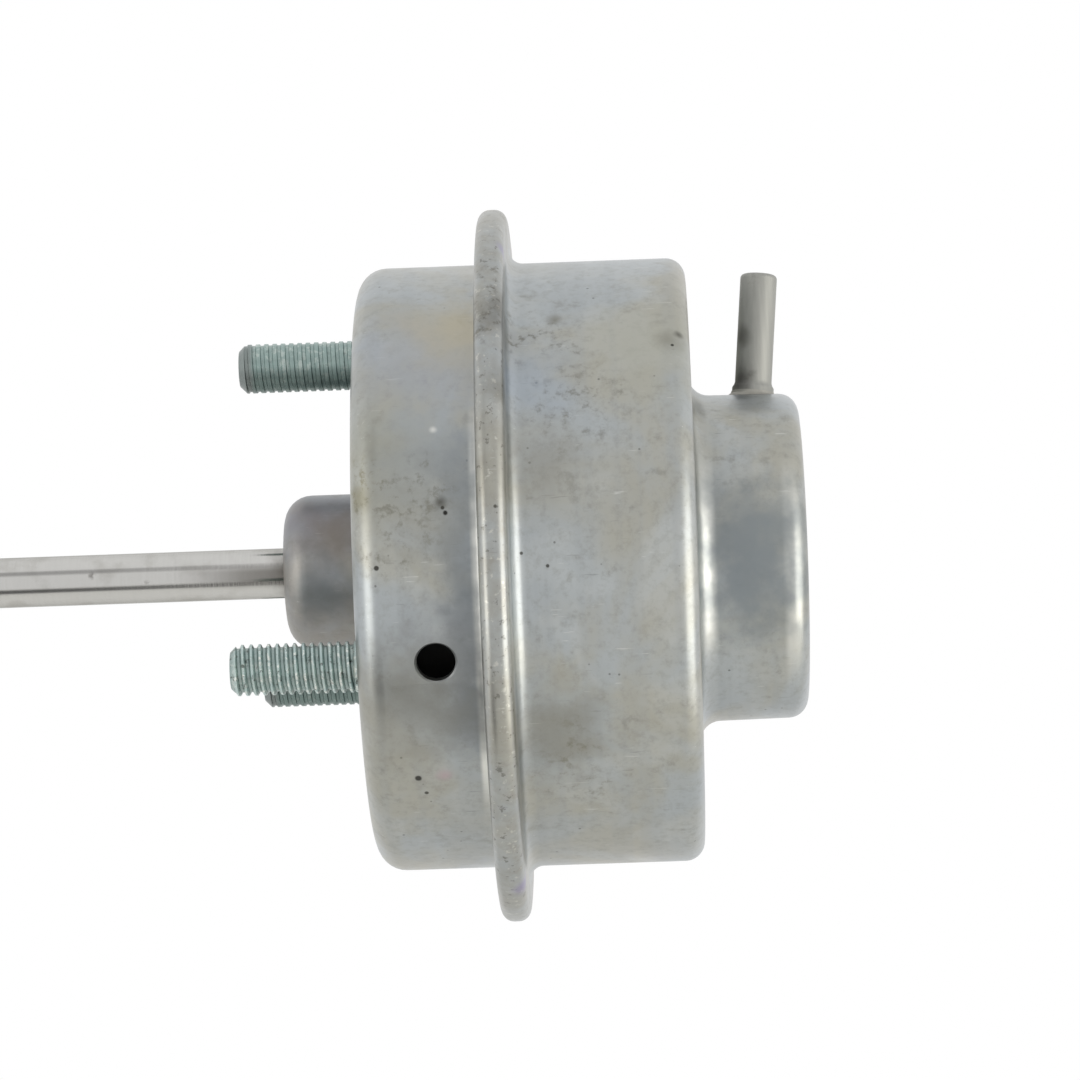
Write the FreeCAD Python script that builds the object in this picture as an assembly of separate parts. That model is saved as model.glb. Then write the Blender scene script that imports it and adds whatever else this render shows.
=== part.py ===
import FreeCAD
import Part
import math
import os

# Vacuum actuator of a turbocharger. Millimetres. X runs along the push rod, from the rod's eye
# towards the cap, Z is up, and the origin is the centre of the stud circle on the mounting face.

# Canister shells, both drawn from one gauge of sheet
SHEET = 1.2
CAN_R = 36.0
FRONT_DEPTH = 15.3
FRONT_CORNER_R = 3.3
FRONT_ROOT_R = 1.6
REAR_DEPTH = 20.9
REAR_CORNER_R = 2.3
REAR_ROOT_R = 1.7
CAP_R = 19.5
CAP_TAPER = 0.15
CAP_DEPTH = 12.9
CAP_CORNER_R = 2.3
CAP_ROOT_R = 2.4

# Crimp: the rear cup's rim rolled over the diaphragm and the front cup's flange, all pressed thin
CRIMP_SHEET = 0.9
DIAPHRAGM_RIM_T = 0.8
FLANGE_REACH = 3.9
RIM_GAP = 0.1
CREST_WALL = 1.65
CREST_CORNER_R = 1.4
CREST_TAPER = 0.1
BEAD_FLAT = 0.4
LIP_GAP = 0.1

# Vent hole in the front cup's wall; angles are counted from +Z towards -Y
VENT_R = 2.2
VENT_X = 9.1
VENT_ANGLE = 106.8
VENT_CHAMFER = 0.3

# Guide boss with its swivelling bush
BOSS_R = 9.2
BOSS_LENGTH = 10.0
BOSS_CORNER_R = 3.2
BOSS_MOUTH_GAP = 0.4
BALL_GAP = 0.3
BUSH_HALF_LENGTH = 3.8
WIPER_R = 4.8
WIPER_LENGTH = 1.4
WIPER_LIP = 0.5
RETAINER_T = 1.0
RETAINER_HOLE_R = 4.2
RETAINER_SET_IN = 0.1

# Studs, M6 x 1
STUD_COUNT = 3
STUD_NAMES = ("stud_upper", "stud_front", "stud_rear")
STUD_CIRCLE_SHARE = 0.6875
STUD_FIRST_ANGLE = -4.0
STUD_LENGTH = 15.0
STUD_NECK = 0.6
STUD_COLLAR_R = 3.25
STUD_HEAD_R = 4.6
STUD_HEAD_T = 1.2

# Thread form shared by the studs and the rod, drawn as rings at the true pitch
THREAD_R = 2.95
THREAD_PITCH = 1.0
THREAD_DEPTH = 0.56
THREAD_CREST = 0.2
THREAD_FLANK_ANGLE = 30.0
THREAD_CHAMFER = 0.8

# Push rod and what is riveted to its inner end
ROD_R = 3.0
ROD_PLAIN = 60.0
ROD_THREAD = 22.0
SPIGOT_R = 2.2
RIVET_R = 3.9
RIVET_T = 1.5
PLATE_R = 20.0
PLATE_T = 1.0
PISTON_R = 27.0
PISTON_T = 1.0
PISTON_SKIRT = 12.8
PISTON_CORNER_R = 2.0
WASHER_T = 1.2
WASHER_SPRING_GAP = 1.25

# Rubber stop, diaphragm, spring and its seat
STOP_WIDTH = 3.5
STOP_BOSS_GAP = 1.0
STOP_STUD_GAP = 1.65
STOP_T = 1.2
STOP_GAP = 0.8
DIAPHRAGM_T = 1.0
DIAPHRAGM_SHOULDER_R = 1.5
SPRING_CAP_GAP = 1.4
WIRE_R = 1.25
SPRING_OPEN_TURNS = 5
SPRING_CLOSED_GAP = 0.06
SPRING_GROUND = 0.8
SPRING_EASE = 0.25
SPRING_EASE_STEPS = 5
SPRING_POINTS = 16
SEAT_WIDTH = 5.5
SEAT_T = 1.0

# Hose nipple on the cap's side
NIPPLE_R = 2.2
NIPPLE_FOOT_R = 2.5
NIPPLE_FOOT_PROUD = 0.6
NIPPLE_BORE_R = 1.5
NIPPLE_FROM_CAP_END = 5.2
NIPPLE_ANGLE = -6.0
NIPPLE_LEAN = 5.1
NIPPLE_REACH = 34.2
NIPPLE_INSIDE = 0.65
NIPPLE_TIP_R = 0.5
BRAZE_HEIGHT = 0.8
BRAZE_FOOT = 0.8

# Lock nut and rod end
NUT_FLATS = 10.0
NUT_T = 5.0
NUT_CHAMFER = 0.5
NUT_SEAT_GAP = 0.05
NUT_X = -70.0
SHANK_R = 5.0
SHANK_LENGTH = 14.0
SHANK_TAPER = 3.0
SHANK_CHAMFER = 0.6
EYE_R = 7.0
EYE_T = 6.0
EYE_FROM_SHANK = 8.0
EYE_CHAMFER = 0.6
PIN_R = 3.0
PIN_BUSH_WALL = 1.5
PIN_BUSH_PROUD = 0.3
BORE_RUN_OUT = 1.0

# Clearances
FIT = 0.05
PRESS_SEAT = 0.02

# Planes and radii that follow from the sizes above
can_in = CAN_R - SHEET
flange_r = CAN_R + FLANGE_REACH
lip_x = FRONT_DEPTH - CRIMP_SHEET
rim_front_x = FRONT_DEPTH + CRIMP_SHEET
rim_rear_x = rim_front_x + DIAPHRAGM_RIM_T
flange_rear_x = rim_rear_x + CRIMP_SHEET
rear_x = flange_rear_x + REAR_DEPTH
cap_x = rear_x + CAP_DEPTH
cap_end_r = CAP_R - CAP_TAPER
channel_half = (rim_rear_x - FRONT_DEPTH) / 2
channel_r = flange_r + RIM_GAP + channel_half
bead_r = channel_r + CREST_WALL
bead_base_r = CAN_R + REAR_ROOT_R + BEAD_FLAT
lip_r = CAN_R + FRONT_ROOT_R + LIP_GAP

stud_circle_r = CAN_R * STUD_CIRCLE_SHARE
stop_out_r = stud_circle_r - STUD_HEAD_R - STOP_STUD_GAP
stop_in_r = stop_out_r - STOP_WIDTH
boss_flange_r = stop_in_r - STOP_BOSS_GAP

boss_in_r = BOSS_R - SHEET
boss_front_x = -BOSS_LENGTH
pivot_x = -(BOSS_LENGTH - SHEET) / 2
ball_r = boss_in_r - BALL_GAP
rod_bore_r = ROD_R + FIT
thread_bore_r = THREAD_R + FIT

plate_x = SHEET + STOP_T + STOP_GAP
diaphragm_x = plate_x + PLATE_T
piston_x = diaphragm_x + DIAPHRAGM_T
washer_x = piston_x + PISTON_T
rivet_x = washer_x + WASHER_T
spigot_hole_r = SPIGOT_R + FIT

roll_out_r = can_in - FIT
roll_in_r = PISTON_R + FIT
roll_half = (roll_out_r - roll_in_r) / 2
roll_x = rim_rear_x + DIAPHRAGM_SHOULDER_R

seat_x = cap_x - SHEET - SEAT_T
seat_out_r = cap_end_r - CAP_CORNER_R - FIT
spring_r = cap_end_r - SHEET - SPRING_CAP_GAP - WIRE_R
washer_r = spring_r - WIRE_R - WASHER_SPRING_GAP
braze_top = CAP_R + BRAZE_HEIGHT
shank_end_x = NUT_X - SHANK_LENGTH
eye_x = shank_end_x - EYE_FROM_SHANK
pin_bush_r = PIN_R + PIN_BUSH_WALL
rod_tip_x = -(ROD_PLAIN + ROD_THREAD)

ORIGIN = FreeCAD.Vector(0, 0, 0)
ALONG = FreeCAD.Vector(1, 0, 0)


def on_plane(x, r):
    return FreeCAD.Vector(x, 0, r)


def around(angle):
    """Direction out from the axis at an angle from +Z towards -Y."""
    turn = math.radians(angle)
    return FreeCAD.Vector(0, -math.sin(turn), math.cos(turn))


def path(points):
    """Edges through (x, r) points in the X-R plane; a third number rounds that corner."""
    edges = []
    at = on_plane(*points[0][:2])
    for i in range(1, len(points)):
        corner = on_plane(*points[i][:2])
        radius = points[i][2] if len(points[i]) > 2 else 0
        if radius == 0 or i == len(points) - 1:
            edges.append(Part.makeLine(at, corner))
            at = corner
            continue
        back = (on_plane(*points[i - 1][:2]) - corner).normalize()
        ahead = (on_plane(*points[i + 1][:2]) - corner).normalize()
        half = back.getAngle(ahead) / 2
        start = corner + back * (radius / math.tan(half))
        end = corner + ahead * (radius / math.tan(half))
        middle = corner + (back + ahead).normalize() * (radius / math.sin(half) - radius)
        if start.distanceToPoint(at) > 1e-6:
            edges.append(Part.makeLine(at, start))
        edges.append(Part.Arc(start, middle, end).toShape())
        at = end
    return edges


def turned(edges):
    """Solid of revolution about the rod's axis from a closed run of edges."""
    return Part.Face(Part.Wire(edges)).revolve(ORIGIN, ALONG, 360)


def ring(x0, x1, in_r, out_r, rounding=0):
    """Flat ring between two planes, its rim rounded if asked."""
    return turned(path([(x0, in_r), (x0, out_r, rounding), (x1, out_r, rounding), (x1, in_r), (x0, in_r)]))


def bar(start, direction, length, radius):
    return Part.makeCylinder(radius, length, start, direction)


def thread(start_x, length):
    """Points of a ringed thread that runs towards -X and ends in a chamfered tip."""
    flank = THREAD_DEPTH * math.tan(math.radians(THREAD_FLANK_ANGLE))
    root_r = THREAD_R - THREAD_DEPTH
    points = [(start_x, THREAD_R)]
    for i in range(int((length - THREAD_CHAMFER - THREAD_CREST) / THREAD_PITCH)):
        groove = start_x - i * THREAD_PITCH
        points.append((groove - flank, root_r))
        points.append((groove - THREAD_PITCH + THREAD_CREST + flank, root_r))
        points.append((groove - THREAD_PITCH + THREAD_CREST, THREAD_R))
        points.append((groove - THREAD_PITCH, THREAD_R))
    points.append((start_x - length + THREAD_CHAMFER, THREAD_R))
    points.append((start_x - length, THREAD_R - THREAD_CHAMFER))
    points.append((start_x - length, 0))
    return points


def front_cup():
    """Drawn cup with its flange, holes for the boss and the studs, and the vent."""
    shell = turned(path([
        (0, BOSS_R + FIT),
        (0, CAN_R, FRONT_CORNER_R),
        (FRONT_DEPTH, CAN_R, FRONT_ROOT_R),
        (FRONT_DEPTH, flange_r),
        (rim_front_x, flange_r),
        (rim_front_x, can_in, FRONT_ROOT_R + SHEET),
        (SHEET, can_in, FRONT_CORNER_R - SHEET),
        (SHEET, BOSS_R + FIT),
        (0, BOSS_R + FIT),
    ]))
    for i in range(STUD_COUNT):
        hole = bar(stud_centre(i) - ALONG * SHEET, ALONG, 3 * SHEET, STUD_COLLAR_R + FIT)
        shell = shell.cut(hole)
    out = around(VENT_ANGLE)
    centre = ALONG * VENT_X
    shell = shell.cut(bar(centre + out * (can_in - SHEET), out, 3 * SHEET, VENT_R))
    sink = Part.makeCone(VENT_R - SHEET, VENT_R + 2 * VENT_CHAMFER, SHEET + 2 * VENT_CHAMFER,
                         centre + out * (CAN_R - SHEET - VENT_CHAMFER + vent_sag()), out)
    return shell.cut(sink)


def vent_sag():
    """How far the round wall falls away at the edge of the vent."""
    return math.sqrt(CAN_R ** 2 - VENT_R ** 2) - CAN_R + VENT_CHAMFER


def nipple_placement():
    """Point on the rod's axis that the nipple aims at, and its direction."""
    lean = math.radians(NIPPLE_LEAN)
    foot_x = cap_x - NIPPLE_FROM_CAP_END
    start = ALONG * (foot_x - CAP_R * math.tan(lean))
    return start, ALONG * math.sin(lean) + around(NIPPLE_ANGLE) * math.cos(lean)


def rear_cup():
    """Two-step drawn cup whose rim is rolled round the flange and the diaphragm."""
    shell = turned(path([
        (cap_x, 0),
        (cap_x, cap_end_r, CAP_CORNER_R),
        (rear_x, CAP_R, CAP_ROOT_R),
        (rear_x, CAN_R, REAR_CORNER_R),
        (flange_rear_x, CAN_R, REAR_ROOT_R),
        (flange_rear_x, bead_base_r),
        (flange_rear_x - CREST_TAPER, bead_r, CREST_CORNER_R),
        (lip_x + CREST_TAPER, bead_r, CREST_CORNER_R),
        (lip_x, bead_base_r),
        (lip_x, lip_r),
        (FRONT_DEPTH, lip_r),
        (FRONT_DEPTH, channel_r, channel_half),
        (rim_rear_x, channel_r, channel_half),
        (rim_rear_x, can_in, REAR_ROOT_R + SHEET),
        (rear_x - SHEET, can_in, REAR_CORNER_R - SHEET),
        (rear_x - SHEET, CAP_R - SHEET, CAP_ROOT_R + SHEET),
        (cap_x - SHEET, cap_end_r - SHEET, CAP_CORNER_R - SHEET),
        (cap_x - SHEET, 0),
        (cap_x, 0),
    ]))
    start, out = nipple_placement()
    hole = bar(start + out * (CAP_R - 2 * SHEET), out, 4 * SHEET, NIPPLE_FOOT_R + FIT)
    return shell.cut(hole)


def guide_housing():
    """Rounded boss drawn from sheet, put through the front cup from inside."""
    return turned(path([
        (boss_front_x, ROD_R + BOSS_MOUTH_GAP),
        (boss_front_x, BOSS_R, BOSS_CORNER_R),
        (SHEET, BOSS_R),
        (SHEET, boss_flange_r),
        (2 * SHEET, boss_flange_r),
        (2 * SHEET, boss_in_r, SHEET),
        (boss_front_x + SHEET, boss_in_r, BOSS_CORNER_R - SHEET),
        (boss_front_x + SHEET, ROD_R + BOSS_MOUTH_GAP),
        (boss_front_x, ROD_R + BOSS_MOUTH_GAP),
    ]))


def guide_bush():
    """Ball-shaped bush with a pocket for the wiper in its front."""
    ball = Part.makeSphere(ball_r, ALONG * pivot_x)
    front = ALONG * (pivot_x - BUSH_HALF_LENGTH)
    belt = bar(front, ALONG, 2 * BUSH_HALF_LENGTH, ball_r + BALL_GAP)
    bush = ball.common(belt)
    bush = bush.cut(bar(front, ALONG, WIPER_LENGTH, WIPER_R))
    return bush.cut(bar(front, ALONG, 2 * BUSH_HALF_LENGTH, rod_bore_r))


def wiper_ring():
    """Rubber wiper whose lip runs on the rod at the front."""
    front_x = pivot_x - BUSH_HALF_LENGTH
    return turned(path([
        (front_x, rod_bore_r),
        (front_x, WIPER_R),
        (front_x + WIPER_LENGTH, WIPER_R),
        (front_x + WIPER_LENGTH, rod_bore_r + WIPER_LIP),
        (front_x + WIPER_LENGTH - WIPER_LIP, rod_bore_r + WIPER_LIP),
        (front_x + WIPER_LIP, rod_bore_r),
        (front_x, rod_bore_r),
    ]))


def bush_retainer():
    """Washer pressed into the boss behind the bush."""
    return ring(RETAINER_SET_IN, RETAINER_SET_IN + RETAINER_T, RETAINER_HOLE_R, boss_in_r - PRESS_SEAT)


def stop_ring():
    """Rubber ring on the floor of the front cup that the piston lands on."""
    return ring(SHEET, SHEET + STOP_T, stop_in_r, stop_out_r)


def stud_centre(i):
    return around(STUD_FIRST_ANGLE + i * 360 / STUD_COUNT) * stud_circle_r


def stud(i):
    """Stud with its head inside the front cup and a collar pressed into the cup's hole."""
    points = [
        (SHEET + STUD_HEAD_T, 0),
        (SHEET + STUD_HEAD_T, STUD_HEAD_R),
        (SHEET, STUD_HEAD_R),
        (SHEET, STUD_COLLAR_R),
        (0, STUD_COLLAR_R),
        (0, THREAD_R),
    ]
    points += thread(-STUD_NECK, STUD_LENGTH - STUD_NECK)
    shape = turned(path(points + points[:1]))
    shape.translate(stud_centre(i))
    return shape


def rod():
    """Push rod: rivet head, spigot, plain bright shaft and threaded end."""
    points = [
        (rivet_x + RIVET_T, 0),
        (rivet_x + RIVET_T, RIVET_R, RIVET_T / 2),
        (rivet_x, RIVET_R),
        (rivet_x, SPIGOT_R),
        (plate_x, SPIGOT_R),
        (plate_x, ROD_R),
        (-ROD_PLAIN, ROD_R),
    ]
    points += thread(-ROD_PLAIN, ROD_THREAD)
    return turned(path(points + points[:1]))


def front_plate():
    return ring(plate_x, diaphragm_x, spigot_hole_r, PLATE_R, PLATE_T / 3)


def piston():
    """Pressed cup, open towards the cap, that the spring sits in."""
    end_x = piston_x + PISTON_SKIRT
    return turned(path([
        (piston_x, spigot_hole_r),
        (piston_x, PISTON_R, PISTON_CORNER_R),
        (end_x, PISTON_R),
        (end_x, PISTON_R - PISTON_T),
        (washer_x, PISTON_R - PISTON_T, PISTON_CORNER_R - PISTON_T),
        (washer_x, spigot_hole_r),
        (piston_x, spigot_hole_r),
    ]))


def piston_washer():
    return ring(washer_x, rivet_x, spigot_hole_r, washer_r)


def diaphragm():
    """Rolling diaphragm: flat middle, sleeve on the piston, one roll, and the clamped rim."""
    top_x = roll_x + roll_half
    inner_top_x = top_x - DIAPHRAGM_T
    return turned(path([
        (diaphragm_x, spigot_hole_r),
        (diaphragm_x, roll_in_r + DIAPHRAGM_T, PISTON_CORNER_R + FIT + DIAPHRAGM_T),
        (inner_top_x, roll_in_r + DIAPHRAGM_T, roll_half - DIAPHRAGM_T),
        (inner_top_x, roll_out_r - DIAPHRAGM_T, roll_half - DIAPHRAGM_T),
        (rim_front_x, roll_out_r - DIAPHRAGM_T, DIAPHRAGM_SHOULDER_R + DIAPHRAGM_T),
        (rim_front_x, flange_r),
        (rim_rear_x, flange_r),
        (rim_rear_x, roll_out_r, DIAPHRAGM_SHOULDER_R),
        (top_x, roll_out_r, roll_half),
        (top_x, roll_in_r, roll_half),
        (piston_x, roll_in_r, PISTON_CORNER_R + FIT),
        (piston_x, spigot_hole_r),
        (diaphragm_x, spigot_hole_r),
    ]))


def wire_rise(turn, closed_pitch, open_pitch):
    """Travel of the wire's centre along X after some turns, eased where the pitch changes."""
    rise = 0
    for step in range(-SPRING_EASE_STEPS, SPRING_EASE_STEPS + 1):
        at = turn + SPRING_EASE * step / SPRING_EASE_STEPS
        open_turns = min(max(at - 1, 0), SPRING_OPEN_TURNS)
        rise += closed_pitch * (at - open_turns) + open_pitch * open_turns
    return rise / (2 * SPRING_EASE_STEPS + 1)


def return_spring():
    """Coil spring with a closed, ground turn at each end."""
    closed_pitch = 2 * WIRE_R + SPRING_CLOSED_GAP
    run = seat_x - washer_x - 2 * (WIRE_R - SPRING_GROUND)
    open_pitch = (run - 2 * closed_pitch) / SPRING_OPEN_TURNS
    start_x = washer_x + WIRE_R - SPRING_GROUND
    centres = []
    for i in range((SPRING_OPEN_TURNS + 2) * SPRING_POINTS + 1):
        turn = i / SPRING_POINTS
        angle = 2 * math.pi * turn
        centres.append(FreeCAD.Vector(start_x + wire_rise(turn, closed_pitch, open_pitch),
                                      spring_r * math.cos(angle), spring_r * math.sin(angle)))
    line = Part.BSplineCurve()
    line.interpolate(centres)
    section = Part.Wire(Part.makeCircle(WIRE_R, centres[0], line.tangent(line.FirstParameter)[0]))
    coil = Part.Wire(line.toShape()).makePipeShell([section], True, False)
    room = bar(ALONG * washer_x, ALONG, seat_x - washer_x, spring_r + 2 * WIRE_R)
    return coil.common(room)


def spring_seat():
    return ring(seat_x, cap_x - SHEET, seat_out_r - SEAT_WIDTH, seat_out_r)


def along_nipple(shape):
    """Turn a shape made along X about the origin onto the nipple's line."""
    start, out = nipple_placement()
    turn = FreeCAD.Rotation(ALONG, out)
    shape.Placement = FreeCAD.Placement(start, turn)
    return shape


def hose_nipple():
    """Thin tube with a rounded mouth and a slightly swelled foot in the cap's wall."""
    inner_end = CAP_R - SHEET - NIPPLE_INSIDE
    foot_end = braze_top + NIPPLE_FOOT_PROUD
    return along_nipple(turned(path([
        (inner_end, NIPPLE_BORE_R),
        (inner_end, NIPPLE_FOOT_R),
        (foot_end, NIPPLE_FOOT_R),
        (foot_end, NIPPLE_R),
        (NIPPLE_REACH, NIPPLE_R, NIPPLE_TIP_R),
        (NIPPLE_REACH, NIPPLE_BORE_R),
        (inner_end, NIPPLE_BORE_R),
    ])))


def nipple_braze():
    """Fillet of braze round the tube's foot."""
    sunk = CAP_R - SHEET
    slope = BRAZE_FOOT / BRAZE_HEIGHT
    fillet = along_nipple(turned(path([
        (braze_top, NIPPLE_FOOT_R + FIT),
        (CAP_R + BRAZE_HEIGHT / 3, NIPPLE_FOOT_R + BRAZE_FOOT / 3),
        (sunk, NIPPLE_FOOT_R + BRAZE_FOOT + SHEET * slope),
        (sunk, NIPPLE_FOOT_R + FIT),
        (braze_top, NIPPLE_FOOT_R + FIT),
    ])))
    cap = turned(path([
        (cap_x, 0),
        (cap_x, cap_end_r, CAP_CORNER_R),
        (rear_x, CAP_R),
        (rear_x, 0),
        (cap_x, 0),
    ]))
    return fillet.cut(cap)


def lock_nut():
    """Hexagon nut with turned corners."""
    corner = NUT_FLATS / 2 / math.cos(math.pi / 6)
    face_x = NUT_X + NUT_SEAT_GAP
    points = []
    for i in range(7):
        turn = i * math.pi / 3
        points.append(FreeCAD.Vector(face_x, corner * math.sin(turn), corner * math.cos(turn)))
    nut = Part.Face(Part.makePolygon(points)).extrude(ALONG * NUT_T)
    trim = turned(path([
        (face_x, 0),
        (face_x, corner - NUT_CHAMFER),
        (face_x + NUT_CHAMFER, corner),
        (face_x + NUT_T - NUT_CHAMFER, corner),
        (face_x + NUT_T, corner - NUT_CHAMFER),
        (face_x + NUT_T, 0),
        (face_x, 0),
    ]))
    return nut.common(trim).cut(bar(ALONG * face_x, ALONG, NUT_T, thread_bore_r))


def rod_end():
    """Shank screwed on the rod, running into a flat eye."""
    shank = turned(path([
        (NUT_X, 0),
        (NUT_X, SHANK_R - SHANK_CHAMFER),
        (NUT_X - SHANK_CHAMFER, SHANK_R),
        (shank_end_x, SHANK_R),
        (shank_end_x - SHANK_TAPER, EYE_T / 2),
        (eye_x, EYE_T / 2),
        (eye_x, 0),
        (NUT_X, 0),
    ]))
    across = FreeCAD.Vector(0, 1, 0)
    face = ALONG * eye_x - across * (EYE_T / 2)
    far_face = ALONG * eye_x + across * (EYE_T / 2)
    eye = bar(face + across * EYE_CHAMFER, across, EYE_T - 2 * EYE_CHAMFER, EYE_R)
    near_cone = Part.makeCone(EYE_R - EYE_CHAMFER, EYE_R, EYE_CHAMFER, face, across)
    far_cone = Part.makeCone(EYE_R - EYE_CHAMFER, EYE_R, EYE_CHAMFER, far_face, across * -1)
    body = shank.fuse([eye, near_cone, far_cone]).removeSplitter()
    body = body.cut(bar(face, across, EYE_T, pin_bush_r + PRESS_SEAT))
    depth = NUT_X - rod_tip_x + BORE_RUN_OUT
    return body.cut(bar(ALONG * (NUT_X - depth), ALONG, depth, thread_bore_r))


def rod_end_bush():
    """Hardened bush pressed into the eye."""
    across = FreeCAD.Vector(0, 1, 0)
    length = EYE_T + 2 * PIN_BUSH_PROUD
    start = ALONG * eye_x - across * (length / 2)
    return bar(start, across, length, pin_bush_r).cut(bar(start, across, length, PIN_R))


pieces = {
    "front_cup": front_cup,
    "rear_cup": rear_cup,
    "guide_housing": guide_housing,
    "guide_bush": guide_bush,
    "wiper_ring": wiper_ring,
    "bush_retainer": bush_retainer,
    "stop_ring": stop_ring,
    "rod": rod,
    "front_plate": front_plate,
    "diaphragm": diaphragm,
    "piston": piston,
    "piston_washer": piston_washer,
    "return_spring": return_spring,
    "spring_seat": spring_seat,
    "hose_nipple": hose_nipple,
    "nipple_braze": nipple_braze,
    "lock_nut": lock_nut,
    "rod_end": rod_end,
    "rod_end_bush": rod_end_bush,
}

os.makedirs("parts", exist_ok=True)
shapes = {name: make() for name, make in pieces.items()}
for index, stud_name in enumerate(STUD_NAMES):
    shapes[stud_name] = stud(index)
for name, shape in shapes.items():
    shape.exportStep("parts/" + name + ".step")
    print(name, shape.isValid(), len(shape.Solids), round(shape.Volume, 2))
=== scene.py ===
import math

import bpy
from mathutils import Matrix, Vector


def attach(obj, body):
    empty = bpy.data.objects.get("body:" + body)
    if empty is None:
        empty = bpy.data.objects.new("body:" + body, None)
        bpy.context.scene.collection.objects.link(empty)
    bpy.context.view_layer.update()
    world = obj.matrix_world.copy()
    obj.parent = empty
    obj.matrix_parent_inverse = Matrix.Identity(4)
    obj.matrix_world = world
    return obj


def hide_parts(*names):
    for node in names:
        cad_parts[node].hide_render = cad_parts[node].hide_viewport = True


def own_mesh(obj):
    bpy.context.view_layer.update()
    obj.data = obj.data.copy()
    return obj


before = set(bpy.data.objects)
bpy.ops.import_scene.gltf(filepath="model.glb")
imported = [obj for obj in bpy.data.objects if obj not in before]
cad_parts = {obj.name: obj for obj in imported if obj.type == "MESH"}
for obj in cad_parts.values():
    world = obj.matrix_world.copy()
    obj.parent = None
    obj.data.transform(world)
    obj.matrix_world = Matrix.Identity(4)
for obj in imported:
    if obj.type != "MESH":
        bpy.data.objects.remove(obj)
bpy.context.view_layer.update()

# Front cup
# The rod-side half of the canister: a cup drawn from 1.2 mm steel sheet and zinc plated, with a
# flat mounting face, a generous drawn corner, a turned-out flange that the crimp grips, and one
# round vent hole pierced through the wall on the near side.
MM = 0.001
SHEET = 1.2
CAN_R = 36.0
CAN_IN_R = CAN_R - SHEET
FLANGE_X, FLANGE_R, FLANGE_T = 15.3, 39.9, 0.9
FRONT_CORNER_R, FRONT_ROOT_R = 3.3, 1.6
BOSS_R = 9.2
FIT = 0.05
STUD_CIRCLE_R, STUD_COLLAR_R = 24.75, 3.25
STUD_ANGLES = {"stud_upper": -4, "stud_front": 116, "stud_rear": 236}
VENT_X, VENT_R, VENT_ANGLE, VENT_SINK = 9.1, 2.2, 106.8, 0.23
THROUGH = 4 * SHEET  # length of a tool body that pierces the sheet
ROUND_SIDES = 240
HOLE_SIDES = 64
MERGE_WITHIN, SNAP = 0.002, 0.001


def rounded(corners, steps=8):
    """Outline through (x, r) corners in mm; a third number rounds that corner with an arc."""
    points = []
    for i, corner in enumerate(corners):
        x, r = corner[:2]
        if len(corner) < 3:
            points.append((x, r))
            continue
        back = (corners[i - 1][0] - x, corners[i - 1][1] - r)
        ahead = (corners[i + 1][0] - x, corners[i + 1][1] - r)
        turn_in, turn_out = math.atan2(back[1], back[0]), math.atan2(ahead[1], ahead[0])
        between = (turn_out - turn_in + math.pi) % (2 * math.pi) - math.pi
        reach = corner[2] / math.sin(abs(between) / 2)
        centre_x = x + reach * math.cos(turn_in + between / 2)
        centre_r = r + reach * math.sin(turn_in + between / 2)
        start = turn_in + math.copysign(math.pi / 2, -between)
        sweep = math.copysign(math.pi - abs(between), -between)
        for step in range(steps + 1):
            at = start + sweep * step / steps
            points.append((centre_x + corner[2] * math.cos(at),
                           centre_r + corner[2] * math.sin(at)))
    return points


def take(piece):
    """Makes the piece the one that the next operator works on."""
    bpy.ops.object.select_all(action="DESELECT")
    piece.select_set(True)
    bpy.context.view_layer.objects.active = piece


def drawn(name, outline):
    """One point, extruded step by step along an outline of (x, r) points in mm."""
    bpy.ops.object.select_all(action="DESELECT")
    bpy.ops.mesh.primitive_plane_add(size=MM, location=(0, 0, 0))
    piece = bpy.context.object
    piece.name = name
    bpy.ops.object.mode_set(mode="EDIT")
    bpy.ops.mesh.merge(type="CENTER")
    bpy.ops.transform.translate(value=(outline[0][0] * MM, 0, outline[0][1] * MM))
    for (x0, r0), (x1, r1) in zip(outline, outline[1:]):
        step = ((x1 - x0) * MM, 0, (r1 - r0) * MM)
        bpy.ops.mesh.extrude_vertices_move(TRANSFORM_OT_translate={"value": step})
    bpy.ops.object.mode_set(mode="OBJECT")
    return piece


def close_up(piece):
    """Merges doubled points, fills a sliver that a cut left open and points all faces outwards."""
    take(piece)
    bpy.ops.object.mode_set(mode="EDIT")
    bpy.ops.mesh.select_all(action="SELECT")
    bpy.ops.mesh.remove_doubles(threshold=MERGE_WITHIN * MM)
    bpy.ops.mesh.fill_holes(sides=4)
    bpy.ops.mesh.select_all(action="SELECT")
    bpy.ops.mesh.normals_make_consistent(inside=False)
    bpy.ops.object.mode_set(mode="OBJECT")


def turned(name, outline, sides=ROUND_SIDES):
    """Piece of revolution: a closed outline spun about the X axis."""
    piece = drawn(name, outline)
    bpy.ops.object.mode_set(mode="EDIT")
    bpy.ops.mesh.select_all(action="SELECT")
    bpy.ops.mesh.spin(steps=sides, angle=2 * math.pi, center=(0, 0, 0), axis=(1, 0, 0))
    bpy.ops.object.mode_set(mode="OBJECT")
    close_up(piece)
    return piece


def apply(piece, kind, **settings):
    """Adds a modifier with its settings and applies it."""
    take(piece)
    modifier = piece.modifiers.new(kind.title(), kind)
    for name, value in settings.items():
        setattr(modifier, name, value)
    bpy.ops.object.modifier_apply(modifier=modifier.name)


def cut(piece, tool, how="DIFFERENCE"):
    """Cuts or joins the piece with a tool body, which is used up."""
    apply(piece, "BOOLEAN", object=tool, operation=how, solver="EXACT")
    bpy.data.objects.remove(tool)


def smooth(piece, degrees=35):
    """Shades smooth, but for edges sharper than the angle."""
    take(piece)
    bpy.ops.object.shade_smooth_by_angle(angle=math.radians(degrees))


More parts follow.
